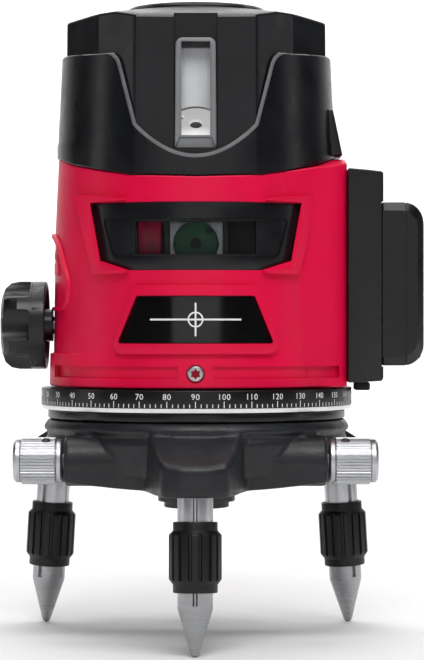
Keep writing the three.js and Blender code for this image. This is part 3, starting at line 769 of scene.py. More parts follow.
class LEVEL_OT_base_casting(Builder, bpy.types.Operator):
    """Enamelled casting with three lugs and two screw housings, tripod plate and brass tripod thread"""
    bl_idname = "level.base_casting"
    bl_label = "Base casting"

    def execute(self, context):
        top, floor, housing_radius, housing_end = high("base_casting").z, 52.0, 8.45, 43.7
        worm = from_axis(JOINTS["tangent_turn"]["pos_m"])
        body = turned("base_casting_skin", [
            (0, floor + 1), (44, floor + 1), (50.6, floor + 5.5), (52.6, 68.2), (51.4, 69.4), (51.4, 70.4),
            (53, 71.3), (53, 72.4), (51.4, top), (0, top),
        ], rounding=0.8)
        housing = rod("housing", housing_radius, -housing_end, housing_end, 0.8)
        moved(moved(housing, turn=90, axis="Y"), y=worm.y, z=worm.z)
        drop = [
            (-housing_end, 61.8), (-housing_end, 55), (-36, 54), (-26, 52.9), (-17, 52.2), (0, floor),
        ]
        web = plate("web", drop + mirrored(drop)[1:], 28, 44)
        join(body, housing, web, *[self.lug(side) for side in LEGS])
        cast(body, grain=0.65, passes=9)
        thinned(body, 0.3)
        self.hollow(body, worm, top)
        settle(body, UPRIGHT, "base", enamelled_casting(), ["base_casting"], sharp=50)
        boss = turned("tripod_plate_cast", [
            (10.3, 43.8), (11.3, 43.8), (11.3, 45.9), (13.4, 45.9),
            (13.4, floor), (25.7, floor), (25.7, floor + 4), (10.3, floor + 4),
        ], rounding=0.35)
        settle(boss, UPRIGHT, "base", enamelled_casting(), ["tripod_plate"])
        self.insert()
        return {"FINISHED"}

    def lug(self, side):
        """A pillow-shaped lug that reaches out to its leg and slopes down to facets at its tip."""
        tip, root = -low("base_casting").y, 16.6
        half = [(30, -root - 1.5), (45, -root), (58, -14.2), (tip - 2.5, -10.85), (tip - 0.4, -4.5)]
        corners = half + [(x, -y) for x, y in reversed(half)]
        lug = prism("lug", filleted(corners, [0, 7, 5, 1.6, 1.6, 1.6, 1.6, 5, 7, 0]), 51.6, 80)
        side_view = filleted(
            [(29, 50), (80, 50), (80, 60.4), (71.2, 60.9), (66, 63.6), (51, 70.9), (29, 70.9)],
            [0, 0, 0, 1, 5, 5, 0],
        )
        overlap(lug, moved(prism("slope", side_view, -30, 30), turn=90, axis="X"))
        return moved(bevelled(lug, 2.2, 4, 30), turn=AZIMUTHS[side])

    def hollow(self, body, worm, top):
        """Adds the mould's parting line; opens the chamber, the worm's channel, the seat and leg bores."""
        seam_length, proud, half = 26.4, 8.75, 0.18
        for start in (-43.4, 17):
            corner = (start, worm.y - proud, worm.z - half)
            join(body, block("seam", corner, (start + seam_length, worm.y, worm.z + half)))
        chamber = rod("chamber", 33, 56, top + 5, segments=96)
        channel = moved(moved(rod("channel", 5.2, -50, 50), turn=90, axis="Y"), y=worm.y, z=worm.z)
        seat = rod("seat", 26, 40, 60, segments=96)
        cut(body, chamber, channel, seat, *[self.leg_bore(side) for side in LEGS])

    def leg_bore(self, side):
        bore = rod("leg_bore", 6.1, 40, 60)
        bore.data.transform(UPRIGHT.inverted() @ leg_place(side))
        return bore

    def insert(self):
        """The brass bush that takes the tripod's screw, with its thread."""
        bore, pitch, depth, half_width = 7.94, 2.31, 0.55, 0.8
        bush = tube("tripod_thread_bush", bore, 10, 44.4, 56, 0.3)
        grooves = []
        for turn in range(4):
            middle = 46 + turn * pitch
            ring = [(7.5, middle - half_width), (bore + depth, middle), (7.5, middle + half_width)]
            grooves.append(turned("groove", ring, 64))
        cut(bush, *grooves)
        settle(bush, UPRIGHT, "base", machined_brass(), ["tripod_insert"])


class LEVEL_OT_legs(Builder, bpy.types.Operator):
    """Three legs: keyed bright sleeve, ribbed nut and pointed foot"""
    bl_idname = "level.legs"
    bl_label = "Legs"

    def execute(self, context):
        for side in LEGS:
            place = leg_place(side)
            settle(self.sleeve(side), place, "base", plated_turned_metal(),
                   [f"leg_sleeve_{side}"])
            settle(self.nut(side), place, f"leg_nut_{side}", textured_nylon_grip(),
                   [f"leg_nut_{side}"])
            settle(self.foot(side), place, f"leg_foot_{side}", turned_steel_foot(),
                   [f"leg_foot_{side}"])
        return {"FINISHED"}

    def keyways(self, radius, bottom, top):
        """Four grooves along a leg, one of them on its outer side."""
        root, mouth = radius - 1.1, radius + 0.6
        groove = [(root, -0.25), (mouth, -1.1), (mouth, 1.1), (root, 0.25)]
        return [moved(prism("keyway", groove, bottom, top), turn=quarter * 90) for quarter in range(4)]

    def sleeve(self, side):
        radius = 5.85
        sleeve = tube(f"leg_sleeve_{side}_turned", 3.6, radius, 37, 59.7, 0.3, 64)
        return cut(sleeve, *self.keyways(radius, 40, 58))

    def nut(self, side):
        """A moulded nut: two collars and a body of wide ribs with narrow grooves that run out at its ends."""
        count = sizes().ribs
        body = turned(f"leg_nut_{side}_moulded", [
            (6.05, 20.7), (7.25, 20.7), (7.25, 23.3), (8.55, 25.1), (8.55, 39.3), (7.25, 40.7), (7.25, 43.5),
            (6.15, 43.5), (6.15, 36.5), (3.5, 36.5), (3.5, 31), (6.05, 31),
        ], 96, 0.3, 2)
        groove = filleted([(8.85, -0.75), (8.85, 0.75), (7.75, 0.42), (7.75, -0.42)], 0.2, steps=2)
        turns = [360 / count * (rib + 0.5) for rib in range(count)]
        return cut(body, *[moved(prism("groove", groove, 24.6, 39.9), turn=turn) for turn in turns])

    def foot(self, side):
        """The foot: keyed shank and a cone down to a rounded point."""
        tip, shank, steps = 1.6, 5.75, 6
        lean = asin((shank - tip) / 13.8)
        nose = [(tip * sin(a), tip - tip * cos(a))
                for a in [(pi / 2 - lean) * step / steps for step in range(steps + 1)]]
        profile = nose + [(5.55, 15.0), (shank, 15.8), (shank, 30), (3.2, 30), (3.2, 56), (0, 56)]
        foot = turned(f"leg_foot_{side}_turned", profile, 64)
        return cut(foot, *self.keyways(shank, 16.6, 31))


class LEVEL_OT_tangent_knobs(Builder, bpy.types.Operator):
    """Two knurled knobs on the ends of the tangent screw, each with its grub screw"""
    bl_idname = "level.tangent_knobs"
    bl_label = "Tangent knobs"
    grub_height = 49.7

    def execute(self, context):
        for side, turn, tilt in (("right", 0, 24), ("left", 180, -24)):
            knob = self.knob(f"tangent_knob_{side}_knurled", tilt)
            grub = moved(self.grub(f"tangent_knob_{side}_grub"), turn=tilt)
            place = UPRIGHT @ Matrix.Translation(from_axis(JOINTS["tangent_turn"]["pos_m"]))
            place = place @ Matrix.Rotation(radians(turn), 4, "Z") @ Matrix.Rotation(pi / 2, 4, "Y")
            settle(knob, place, "tangent_screw", plated_turned_metal(),
                   [f"tangent_knob_{side}"])
            settle(grub, place, "tangent_screw", machined_steel())
        return {"FINISHED"}

    def knob(self, name, tilt):
        """A knob whose socket for the grub screw is turned by the tilt."""
        start, end = 44.3, high("tangent_knob_right").x
        knob = turned(name, [
            (0, start), (6.6, start), (7.2, start + 0.6), (7.2, 46.2), (6.9, 46.4), (6.9, 58.2), (7.2, 58.4),
            (7.2, end - 0.8), (6.4, end), (0, end),
        ], 96, 0.12, 2)
        grip = prism("grip", self.flutes(), 46.6, 58.0)
        join(knob, bevelled(grip, 0.12, 1, 60))
        face = turned("face", [(0, end - 0.5), (4.6, end - 0.5), (5.0, end + 1), (0, end + 1)], 64)
        bore = rod("bore", 3.1, start - 1, end - 3)
        hole = moved(rod("hole", 1.6, 0, 12, segments=32), z=self.grub_height, turn=-90, axis="Y")
        return cut(knob, bore, moved(hole, turn=tilt), face)

    def flutes(self):
        """Straight knurling: shallow rounded flutes round the grip."""
        count, outer, depth, steps = sizes().flutes, 7.825, 0.45, 8
        outline = []
        for at in range(count * steps):
            share = at / steps % 1
            radius = outer - depth * max(0.0, 2 * cos(tau * share) - 1)
            angle = tau * at / (count * steps)
            outline.append((radius * cos(angle), radius * sin(angle)))
        return outline

    def grub(self, name):
        """A socket-head grub screw, sunk in the knob's collar."""
        grub = rod(name, 1.5, 3.2, 6.6, 0.15, 32)
        hexagon = [(0.75 * cos(a), 0.75 * sin(a)) for a in [tau * s / 6 for s in range(6)]]
        cut(grub, prism("socket", hexagon, 5.2, 8))
        return moved(grub, z=self.grub_height, turn=-90, axis="Y")


class LEVEL_OT_dial(Builder, bpy.types.Operator):
    """Cover disc and graduated dial ring with its marks and numbers"""
    bl_idname = "level.dial"
    bl_label = "Dial"
    proud, sunk = 0.04, 0.05

    def execute(self, context):
        disc_low, disc_high = low("cover_disc").z, high("cover_disc").z
        disc = tube("cover_disc_turned", 20, high("cover_disc").x, disc_low, disc_high, 0.5, 160)
        settle(disc, UPRIGHT, "base", moulded_abs_black(), ["cover_disc"])
        bottom, top, radius = low("dial_ring").z, high("dial_ring").z, high("dial_ring").x
        inner, middle, face = 46, bottom + 1.4, radius - 0.08
        band = tube("dial_ring_band", inner, face, middle, top, 0.25, 180)
        settle(band, UPRIGHT, "base", anodised_dial(), ["dial_ring"])
        bevel = turned("dial_ring_bevel", [
            (inner, bottom), (radius - 0.6, bottom), (radius - 0.15, middle - 0.12),
            (radius - 0.15, middle - 0.02), (inner, middle - 0.02),
        ], 180)
        settle(bevel, UPRIGHT, "base", diamond_cut_aluminium())
        self.marks(face, middle)
        self.numbers(face, middle)
        return {"FINISHED"}

    def marks(self, radius, bottom):
        """A mark every second degree, longer every tenth."""
        points, faces = [], []
        start, short, long, half = 0.25, 1.45, 2.35, sizes().tick / 2
        for degree in range(0, 360, 2):
            tall = long if degree % 10 == 0 else short
            angle = radians(degree)
            for r in (radius - self.sunk, radius + self.proud):
                for side, z in ((-half, start), (half, start), (half, tall), (-half, tall)):
                    a = angle + side / radius
                    points.append((r * cos(a), r * sin(a), bottom + z))
            at = len(points) - 8
            faces += [[at + c for c in side] for side in
                      ((3, 2, 1, 0), (4, 5, 6, 7), (0, 1, 5, 4), (1, 2, 6, 5), (2, 3, 7, 6), (3, 0, 4, 7))]
        settle(solid("dial_marks", points, faces), UPRIGHT, "base", screened_white_ink())

    def numbers(self, radius, bottom):
        """Numbers every tenth degree, 90 at the front, bent round the ring."""
        points, faces, height = [], [], 2.95
        for tens in range(36):
            angle = radians(tens * 10 - 180)
            figure = self.text(str(tens * 10))
            start = len(points)
            for vertex in figure.vertices:
                a = angle + vertex.co.x / radius
                r = radius + (self.proud if vertex.co.z > 0 else -self.sunk)
                points.append((r * cos(a), r * sin(a), bottom + height + vertex.co.y))
            faces += [[start + v for v in face.vertices] for face in figure.polygons]
            bpy.data.meshes.remove(figure)
        settle(solid("dial_numbers", points, faces), UPRIGHT, "base", screened_white_ink())

    def text(self, words):
        curve = bpy.data.curves.new("figure", "FONT")
        curve.body = words
        curve.size = sizes().numeral
        curve.align_x = "CENTER"
        curve.extrude = self.proud
        curve.resolution_u = 3
        curve.space_character = 1.08
        holder = bpy.data.objects.new("figure", curve)
        bpy.context.scene.collection.objects.link(holder)
        graph = bpy.context.evaluated_depsgraph_get()
        mesh = bpy.data.meshes.new_from_object(holder.evaluated_get(graph))
        bpy.data.objects.remove(holder)
        bpy.data.curves.remove(curve)
        return mesh


# ---------------------------------------------------------------- shapes that the housing's pieces share
def reach(outline, angle):
    """How far from the axis a closed outline is in a direction; 0 where the direction misses it."""
    dx, dy = cos(angle), sin(angle)
    furthest = 0.0
    for (ax, ay), (bx, by) in zip(outline, outline[1:] + outline[:1]):
        ex, ey = bx - ax, by - ay
        across = dx * ey - dy * ex
        if abs(across) < 1e-9:
            continue
        share = (ax * dy - ay * dx) / across
        along = (ax * ey - ay * ex) / across
        if along > furthest and -1e-6 <= share <= 1 + 1e-6:
            furthest = along
    return furthest


def skin(name, rows, count=480):
    """A closed wall round the axis. Each row gives a radius and a height for an angle."""
    angles = [tau * at / count for at in range(count)]
    rings = []
    for row in rows:
        reading = [(angle, *row(angle)) for angle in angles]
        rings.append([(radius * cos(a), radius * sin(a), height) for a, radius, height in reading])
    return ringed(name, rings)


def flattened(radius, front, corner):
    """A radius that is round at the sides and follows a flatter arc at the front and back."""
    sag = front - sqrt(radius ** 2 - corner ** 2)
    flat = (corner ** 2 + sag ** 2) / (2 * sag)
    centre = flat - front

    def read(angle):
        lift = centre * abs(sin(angle))
        return min(radius, sqrt(lift ** 2 - centre ** 2 + flat ** 2) - lift)
    return read


def within(piece, radius):
    """What is left of a piece inside a round housing of that radius."""
    return overlap(piece, rod("limit", radius, 80, 170, segments=240))


def raised(name, outline, radius, edge, steps=2):
    """A relief on the front of the round housing, with rounded edges."""
    return bevelled(within(plate(name, outline, 24, 60), radius), edge, steps, 50)


def grown(outline, by):
    """A closed outline moved outward along its normals; inward for a negative distance."""
    edges = zip(outline, outline[1:] + outline[:1])
    side = 1 if sum(ax * cy - cx * ay for (ax, ay), (cx, cy) in edges) > 0 else -1
    result = []
    for at, point in enumerate(outline):
        back = (Vector(point) - Vector(outline[at - 1])).normalized()
        ahead = (Vector(outline[(at + 1) % len(outline)]) - Vector(point)).normalized()
        normal = Vector((back.y + ahead.y, -back.x - ahead.x)) * side
        stretch = max(1 + back.dot(ahead), 0.3)
        result.append(tuple(Vector(point) + normal / stretch * by))
    return result


def screw_height():
    """The height of the shell screws' axes."""
    return low("shell_screw_front").z + 2.75


def rectangle(half, bottom, top):
    """A rectangle that stands symmetrically about the axis."""
    return [(-half, bottom), (half, bottom), (half, top), (-half, top)]


def seam(x):
    """The height of the joint between the red shell and the skirt: low in front and behind, high beside."""
    return SEAM(abs(x))


SEAM = blend([
    (0, 156.1), (21.7, 156.8), (31, 158.5), (41.1, 161.0), (44.5, 162.6), (47.4, 164.4), (52, 164.6),
])
BEZEL = [(-31.6, 128.6), (-21.6, 125.3), (21.6, 125.3), (31.6, 128.6), (35, 147.5), (-35, 147.5)]
LABEL = [(-25.6, 101.2), (25.6, 101.2), (19.3, 116.5), (-19.3, 116.5)]


class LEVEL_OT_red_shell(Builder, bpy.types.Operator):
    """Red lower shell: slotted flange, label frame, wings round the wide window and arched side frame"""
    bl_idname = "level.red_shell"
    bl_label = "Red shell"

    def execute(self, context):
        shell = self.wall()
        wing = self.wing()
        frame_outline = filleted([(-28.4, 97.6), (28.4, 97.6), (20.9, 120.2), (-20.9, 120.2)], 3)
        join(
            shell,
            raised("wing_left", wing, 51.0, 1.3, 2),
            raised("wing_right", mirrored(wing), 51.0, 1.3, 2),
            raised("label_frame", frame_outline, 51.05, 1.4, 3),
            self.arch(),
            *self.padlocks(),
        )
        screws = [self.radial("screw_recess", 3.05, 48.6, 56, screw_height(), azimuth)
                  for azimuth in AZIMUTHS.values()]
        lock = self.radial("lock_hole", 6.15, 30, 60, from_axis(JOINTS["lock_turn"]["pos_m"]).z, 180)
        label = plate("label_recess", grown(filleted(LABEL, 0.6), 0.25), 30, 60)
        cut(
            shell, plate("bezel_hole", grown(BEZEL, 0.15), 30, 60),
            overlap(label, tube("skin", 48.6, 60, 95, 122)),
            *self.slots(), *screws, lock, block("wire_slot", (40, -10, 105), (60, 10, 135)),
        )
        settle(shell, UPRIGHT, "housing", moulded_abs_red(), ["red_shell"], sharp=26)
        return {"FINISHED"}

    def radial(self, name, radius, start, end, height, azimuth):
        """A bar from the axis outward at a height and an azimuth."""
        bar = moved(rod(name, radius, start, end), turn=90, axis="Y")
        return moved(moved(bar, turn=azimuth), z=height)

    def wall(self):
        """The shell's skin; the flange's ledge fades out in front, and the battery box has a flat pad."""
        bottom, ledge, wall = low("red_shell").z, 97.7, sizes().wall
        body = blend([(bottom, 51.1), (ledge, 49.6), (139.2, 49.0), (164.9, 47.8)])
        flange = blend([(bottom, 51.1), (ledge, 50.8)])
        pad = self.pad(0)

        def outside(height, inset=0.0, flanged=False):
            def row(angle):
                radius = body(height)
                if flanged:
                    share = smooth(abs(cos(angle)) * radius, 37, 42)
                    radius += (flange(height) - radius) * share
                outer = max(radius, reach(pad, angle)) if cos(angle) > 0.5 and inset < wall else radius
                return outer - inset, height
            return row

        def under_seam(share, drop, inset):
            def row(angle):
                top = seam(body(160) * cos(angle)) - drop
                height = 150 + (top - 150) * share
                padded = cos(angle) > 0.5 and inset < wall
                return max(body(height), reach(pad, angle) if padded else 0) - inset, height
            return row

        rows = [outside(bottom, 0.4, True), outside(bottom + 0.4, 0, True), outside(ledge - 0.5, 0, True)]
        rows += [outside(ledge)]
        rows += [outside(height) for height in (104, 112, 120, 130, 140, 150)]
        rows += [under_seam(0.5, 0, 0), under_seam(1, 0.55, 0), under_seam(1, 0.15, 0.35)]
        rows += [under_seam(1, 0.15, wall), outside(145, wall), outside(ledge + 2, wall)]
        rows += [lambda angle: (48.5, ledge - wall), lambda angle: (48.5, bottom)]
        return skin("red_shell_moulded", rows)

    def pad(self, inset):
        """Plan of the flat pad that the battery box is screwed to."""
        side, half, back = high("red_shell").x - inset, 25 - inset, 38 - inset
        return filleted([(30, -back), (side, -half), (side, half), (30, back)], [0, 2, 2, 0])

    def wing(self):
        """Outline of the relief that grips the left end of the wide window and tapers to two tips."""
        return filleted([
            (-41.2, 150.9), (-40.3, 146.4), (-34.4, 124.0), (-23.8, 124.2), (-22.0, 125.0), (-31.7, 128.3),
            (-35.3, 147.8), (-23.2, 148.3), (-23.2, 148.9),
        ], [0.8, 2, 0.8, 0, 0, 0, 0, 0, 0])

    def arch(self):
        """A thin raised frame on the left side, round the lock's signs."""
        outer = filleted([
            (-24.2, 112), (24.2, 112), (25.4, 122), (15, 137.5), (0, 139), (-15, 137.5), (-25.4, 122),
        ], [8, 8, 10, 16, 20, 16, 10], steps=6)
        rim = cut(plate("arch", outer, 24, 60), plate("inside", grown(outer, -1.3), 20, 64))
        return moved(bevelled(within(rim, 50.3), 0.3, 2, 50), turn=-90)

    def padlocks(self):
        """An open and a closed padlock in low relief beside the lock knob."""
        signs = []
        half, bow_radius, bow_foot, bow_middle = 2.6, 1.8, 128, 129.2
        for middle, lift in ((-13, 0.0), (13, 1.8)):
            left, right = middle - half, middle + half
            outline = filleted([(left, 124), (right, 124), (right, 128.4), (left, 128.4)], 0.5)
            bow = [(middle + bow_radius * cos(a), bow_middle + lift + bow_radius * sin(a))
                   for a in [pi * step / 10 for step in range(11)]]
            bow = [(middle + bow_radius, bow_foot), *bow, (middle - bow_radius, bow_foot + lift)]
            inner = [(middle + (x - middle) * 0.6, bow_foot + (z - bow_foot) * 0.78)
                     for x, z in reversed(bow)]
            case = join(plate("case", outline, 24, 60), plate("bow", bow + inner, 24, 60))
            signs.append(moved(within(case, 49.9), turn=-90))
        return signs

    def slots(self):
        """The long shallow slots of the flange, at either side of the screws."""
        bottom, top, start = 89.4, 93.4, 5.7
        outline = [(start, -60), (48.3, -60), (48.3, -14), (start, -14)]
        cutters = []
        for turn in (0, 180):
            for side in (outline, mirrored(outline)):
                slot = moved(prism("slot", side, bottom, top), turn=turn)
                core = rod("core", 49.3, bottom - 1, top + 1, segments=240)
                cutters.append(cut(slot, core, prism("pad", self.pad(1.2), 80, 100)))
        return cutters


class LEVEL_OT_shell_screws(Builder, bpy.types.Operator):
    """Three pan-head screws with six-lobed sockets, sunk in the shell's flange"""
    bl_idname = "level.shell_screws"
    bl_label = "Shell screws"

    def execute(self, context):
        for side, azimuth in AZIMUTHS.items():
            screw = self.screw(f"shell_screw_{side}_plated")
            moved(moved(screw, turn=90, axis="Y"), z=screw_height())
            settle(moved(screw, turn=azimuth), UPRIGHT, "housing", plated_turned_metal(),
                   [f"shell_screw_{side}"])
        return {"FINISHED"}

    def screw(self, name):
        """A pan head on a neck and shank, with a shallow ring round its six-lobed socket."""
        head = turned(name, [
            (0, 42), (1.4, 42), (1.4, 48.2), (2.2, 48.2), (2.2, 48.8), (2.75, 48.8), (2.75, 50.2),
            (2.3, 50.62), (1.2, 50.78), (0, 50.8),
        ], 48, 0.12, 2)
        middle, depth, lobes, count = 1.45, 0.27, 6, 60
        socket = []
        for at in range(count):
            angle = tau * at / count
            radius = middle + depth * cos(lobes * angle)
            socket.append((radius * cos(angle), radius * sin(angle)))
        ring = tube("dish", 1.9, 2.05, 50.55, 52, segments=48)
        return cut(head, prism("socket", socket, 48.4, 52), ring)


class LEVEL_OT_skirt(Builder, bpy.types.Operator):
    """Black skirt: U-shaped cut-outs with a painted highlight on the chamfer round each, and the battery-side
    rib
    """
    bl_idname = "level.skirt"
    bl_label = "Skirt"

    def execute(self, context):
        skirt = self.wall("skirt_moulded", 0)
        rib = plate("rib", [(45, 165.2), (50.2, 165.2), (46.9, 181), (45, 181)], -14, 14)
        join(skirt, bevelled(rib, 0.4, 2, 50))
        gap = self.gap()
        sides = (("front", 20, 60), ("back", -60, -20))
        cut(skirt, *[plate(f"gap_{name}", gap, near, far) for name, near, far in sides])
        settle(skirt, UPRIGHT, "housing", moulded_abs_black(), ["skirt"], sharp=24)
        sunk, outward, inward = 0.4, 0.4, 1.25
        # The chamfers round the cut-outs carry a painted highlight: light grey on the black ABS.
        for name, near, far in sides:
            line = self.wall(f"skirt_chamfer_{name}", sunk)
            overlap(line, plate("outside", grown(gap, outward), near, far))
            cut(line, plate("inside", grown(gap, -inward), near - 1, far + 1))
            settle(line, UPRIGHT, "housing", moulded_abs_edge(), sharp=24)
        return {"FINISHED"}

    def wall(self, name, inset):
        """The skirt's skin: a lower band, a small step, then a taper up to an edge that dips in front."""
        band = flattened(48.4, 45.9, 20.5)
        taper = blend([(168.8, 1.0), (170.4, 0.992), (201.9, 0.961)])
        rim = blend([(0, 197.9), (32, 197.9), (35, 198.1), (40, 198.6), (46.4, 199.5)])

        def row(height, drop=0.0):
            return lambda angle: (band(angle) * taper(height) - inset - drop, height)

        def rim_row(share, drop, lower):
            def read(angle):
                height = 170 + (rim(abs(46.4 * cos(angle))) - lower - 170) * share
                return band(angle) * taper(height) - inset - drop, height
            return read

        def foot(drop, lift):
            return lambda angle: (band(angle) - inset - drop, seam(48 * cos(angle)) + lift)

        rows = [foot(0.35, 0.15), foot(0, 0.5), foot(0, 3.0), row(168.8), row(170.4)]
        rows += [rim_row(0.5, 0, 0), rim_row(1, 0, 0.4), rim_row(1, 0.35, 0), rim_row(1, 2.3, 0)]
        rows += [row(169.4, 2.6), foot(2.8, 0.15)]
        return skin(name, rows)

    def gap(self):
        """The outline of the cut-out: a shallow bowl, slanted sides and shoulders that open onto the rim."""
        half, bottom, rise, shoulder, far = 20.8, 162.3, 10.8, 197.9, 38
        bowl = [(half * s / 10, bottom + rise * (s / 10) ** 2) for s in range(-9, 10)]
        side = [bowl[-1], (half, 173.1), (27.2, shoulder), (far, shoulder)]
        right = filleted(side, [0, 1.5, 5.5, 0], closed=False)
        return [(far, 225), (-far, 225)] + mirrored(right)[:-1] + bowl + right[1:]


class LEVEL_OT_head_dome(Builder, bpy.types.Operator):
    """Black faceted head with its conical roof and the channels of the two tall windows"""
    bl_idname = "level.head_dome"
    bl_label = "Head dome"

    def execute(self, context):
        dome = self.wall()
        pad_half, pad_depth, channel_back = 9.5, 7, 38.5
        for near in (-42.5, 35.5):
            join(dome, block("pad", (-pad_half, near, 163), (pad_half, near + pad_depth, 208)))
        channel, glass = rectangle(7.3, 165.7, 230), rectangle(4.75, 170.1, 199.4)
        cut(
            dome, plate("channel", channel, channel_back, 60), plate("channel", channel, -60, -channel_back),
            plate("opening", glass, -60, 60),
        )
        settle(dome, UPRIGHT, "housing", moulded_abs_black(), ["head_dome"], sharp=16)
        return {"FINISHED"}

    def wall(self):
        """The dome's skin: faceted sides, an edge that rises to the corners and a conical roof."""
        quarter = [(0, -43.0), (20, -42.8), (33, -31.2), (44.6, -13), (45.1, 0)]
        front = [(-x, y) for x, y in reversed(quarter)][:-1] + quarter
        plan = filleted(front[:-1] + [(-x, -y) for x, y in front][:-1], 1.2, steps=4)
        rim = blend([(0, 209.9), (20, 210.1), (27.6, 211.9), (36, 211.6), (41, 211.2), (45.1, 210.8)])
        roof, roof_radius, bottom, wall = 215.0, 24.8, low("head_dome").z, sizes().wall

        def row(height, inset):
            return lambda angle: (reach(plan, angle) - inset, height)

        def rim_row(inset, drop, share=0.0):
            def read(angle):
                radius = reach(plan, angle) - inset
                edge = rim(abs(reach(plan, angle) * cos(angle))) - drop
                return radius + (roof_radius - radius) * share, edge + (roof - edge) * share
            return read

        rows = [row(bottom, 0), row(180, 0.1), row(205, 0.3), rim_row(0.35, 0.9), rim_row(0.6, 0.3)]
        rows += [rim_row(1.2, 0, share) for share in (0, 0.33, 0.66, 1)]
        rows += [lambda angle: (roof_radius, 211.0), lambda angle: (21, 211.0), lambda angle: (21, 209.6)]
        rows += [rim_row(wall + 1, 2.2), row(205, wall + 0.3), row(bottom, wall)]
        return skin("head_dome_moulded", rows, 360)


class LEVEL_OT_keypad(Builder, bpy.types.Operator):
    """Keypad cap with three signed buttons and a round bubble vial with its ring"""
    bl_idname = "level.keypad"
    bl_label = "Keypad"

    def execute(self, context):
        top, bottom = high("keypad_cap").z, low("keypad_cap").z
        cap = turned("keypad_cap_moulded", [
            (0, bottom), (24.4, bottom), (24.4, top - 1.1), (23.6, top), (9.6, top), (9.3, top - 0.3),
            (8.3, top - 0.3), (8.0, top), (0, top),
        ], 160, 0.25)
        holes = [rod("vial_hole", 6.3, bottom - 1, top + 1)]
        azimuths = {"power_button": 90, "level_button": 210, "plumb_button": 330}
        for azimuth in azimuths.values():
            holes.append(moved(rod("button_hole", 4.8, bottom - 1, top + 1), *self.spot(azimuth)))
        cut(cap, *holes)
        settle(cap, UPRIGHT, "housing", moulded_abs_black(), ["keypad_cap"])
        for name, azimuth in azimuths.items():
            self.button(name, azimuth)
        self.vial()
        return {"FINISHED"}

    def spot(self, azimuth):
        """Where a button stands on its circle."""
        circle = 14.5
        return circle * cos(radians(azimuth)), circle * sin(radians(azimuth))

    def button(self, name, azimuth):
        top, bottom = high(name).z, low(name).z
        button = rod(f"{name}_moulded", 4.5, bottom, top, 0.5)
        dish = turned("dish", [(0, top - 0.25), (2.4, top - 0.2), (3.6, top + 0.2), (0, top + 0.2)], 48)
        cut(button, dish)
        place = UPRIGHT @ Matrix.Translation((*self.spot(azimuth), 0))
        settle(button, place, name, moulded_abs_grey(), [name])
        sign = self.sign(name, top - 0.24)
        settle(sign, place, name, screened_white_ink())

    def sign(self, name, height):
        """White lines that tell the buttons apart: a power sign, a level line or a plumb line."""
        ink = 0.06
        if name == "power_button":
            sign = tube(f"{name}_sign", 1.15, 1.5, height, height + ink, segments=40)
            cut(sign, block("break", (-0.5, 0.6, height - 1), (0.5, 2, height + 1)))
            return join(sign, block("stroke", (-0.16, 0.4, height), (0.16, 1.8, height + ink)))
        along, across = ((1.6, 0.16) if name == "level_button" else (0.16, 1.6))
        return block(f"{name}_sign", (-along, -across, height), (along, across, height + ink))

    def vial(self):
        top, bottom, radius = high("bubble_vial").z, low("bubble_vial").z, 6.0
        vial = turned("bubble_vial_turned", [
            (0, bottom), (radius, bottom), (radius, top - 1.2), (3.6, top - 0.25), (0, top),
        ], 64, 0.3)
        settle(vial, UPRIGHT, "housing", vial_liquid_glass(), ["bubble_vial"])
        ring = tube("bubble_vial_circle", 2.3, 2.55, top - 0.35, top - 0.1, segments=48)
        settle(ring, UPRIGHT, "housing", moulded_abs_black())


class LEVEL_OT_tall_windows(Builder, bpy.types.Operator):
    """Frames of the two tall windows, grey as a painted reflection, their panes, and the pale screens behind
    them
    """
    bl_idname = "level.tall_windows"
    bl_label = "Tall windows"

    def execute(self, context):
        for side, turn in (("front", 0), ("back", 180)):
            surround = moved(self.surround(side), turn=turn)
            # The frame's grey is a painted reflection of the studio on its satin black.
            settle(surround, UPRIGHT, "housing", moulded_abs_grey(), [f"window_frame_{side}"])
            pane = plate(f"window_pane_{side}", self.opening(0.15), 39.4, 40.2)
            settle(moved(pane, turn=turn), UPRIGHT, "housing", float_glass(),
                   [f"window_glass_{side}"])
            screen = plate(f"window_screen_{side}", self.screen(), 34.2, 35.2)
            settle(moved(screen, turn=turn), UPRIGHT, "housing", pale_screen())
        return {"FINISHED"}

    def opening(self, inset):
        return rectangle(4.75 - inset, 170.1 + inset, 201.2 - inset)

    def screen(self):
        """A screen's outline, with an arched foot."""
        half, middle, drop, top, steps = 8.5, 174.3, 5.8, 203, 24
        arch = [(half * cos(a), middle + drop * sin(a))
                for a in [pi - pi * step / steps for step in range(steps + 1)]]
        return arch + [(half, top), (-half, top)]

    def surround(self, side):
        """A bevelled frame: rounded above, with a deeper sloping sill below."""
        body = filleted([(-7, 166), (7, 166), (6.7, 202.4), (-6.7, 202.4)], [0.6, 0.6, 2.4, 2.4], steps=6)
        piece = bevelled(plate(f"window_frame_{side}_moulded", body, 38.8, 41.6), 0.35, 2, 50)
        rebate = filleted([(-5.5, 169.4), (5.5, 169.4), (5.3, 201), (-5.3, 201)], [0.4, 0.4, 1.4, 1.4])
        cut(piece, plate("rebate", rebate, 40.9, 44), plate("opening", self.opening(0), 30, 50))
        sill = [(-7.2, 165), (-5.2, 169.3), (5.2, 169.3), (7.2, 165)]
        mouth = [(x * 1.02, z + (0.9 if z > 166 else 0)) for x, z in sill]
        return cut(piece, facing(loft("slope", sill, mouth, 40.4, 43)))


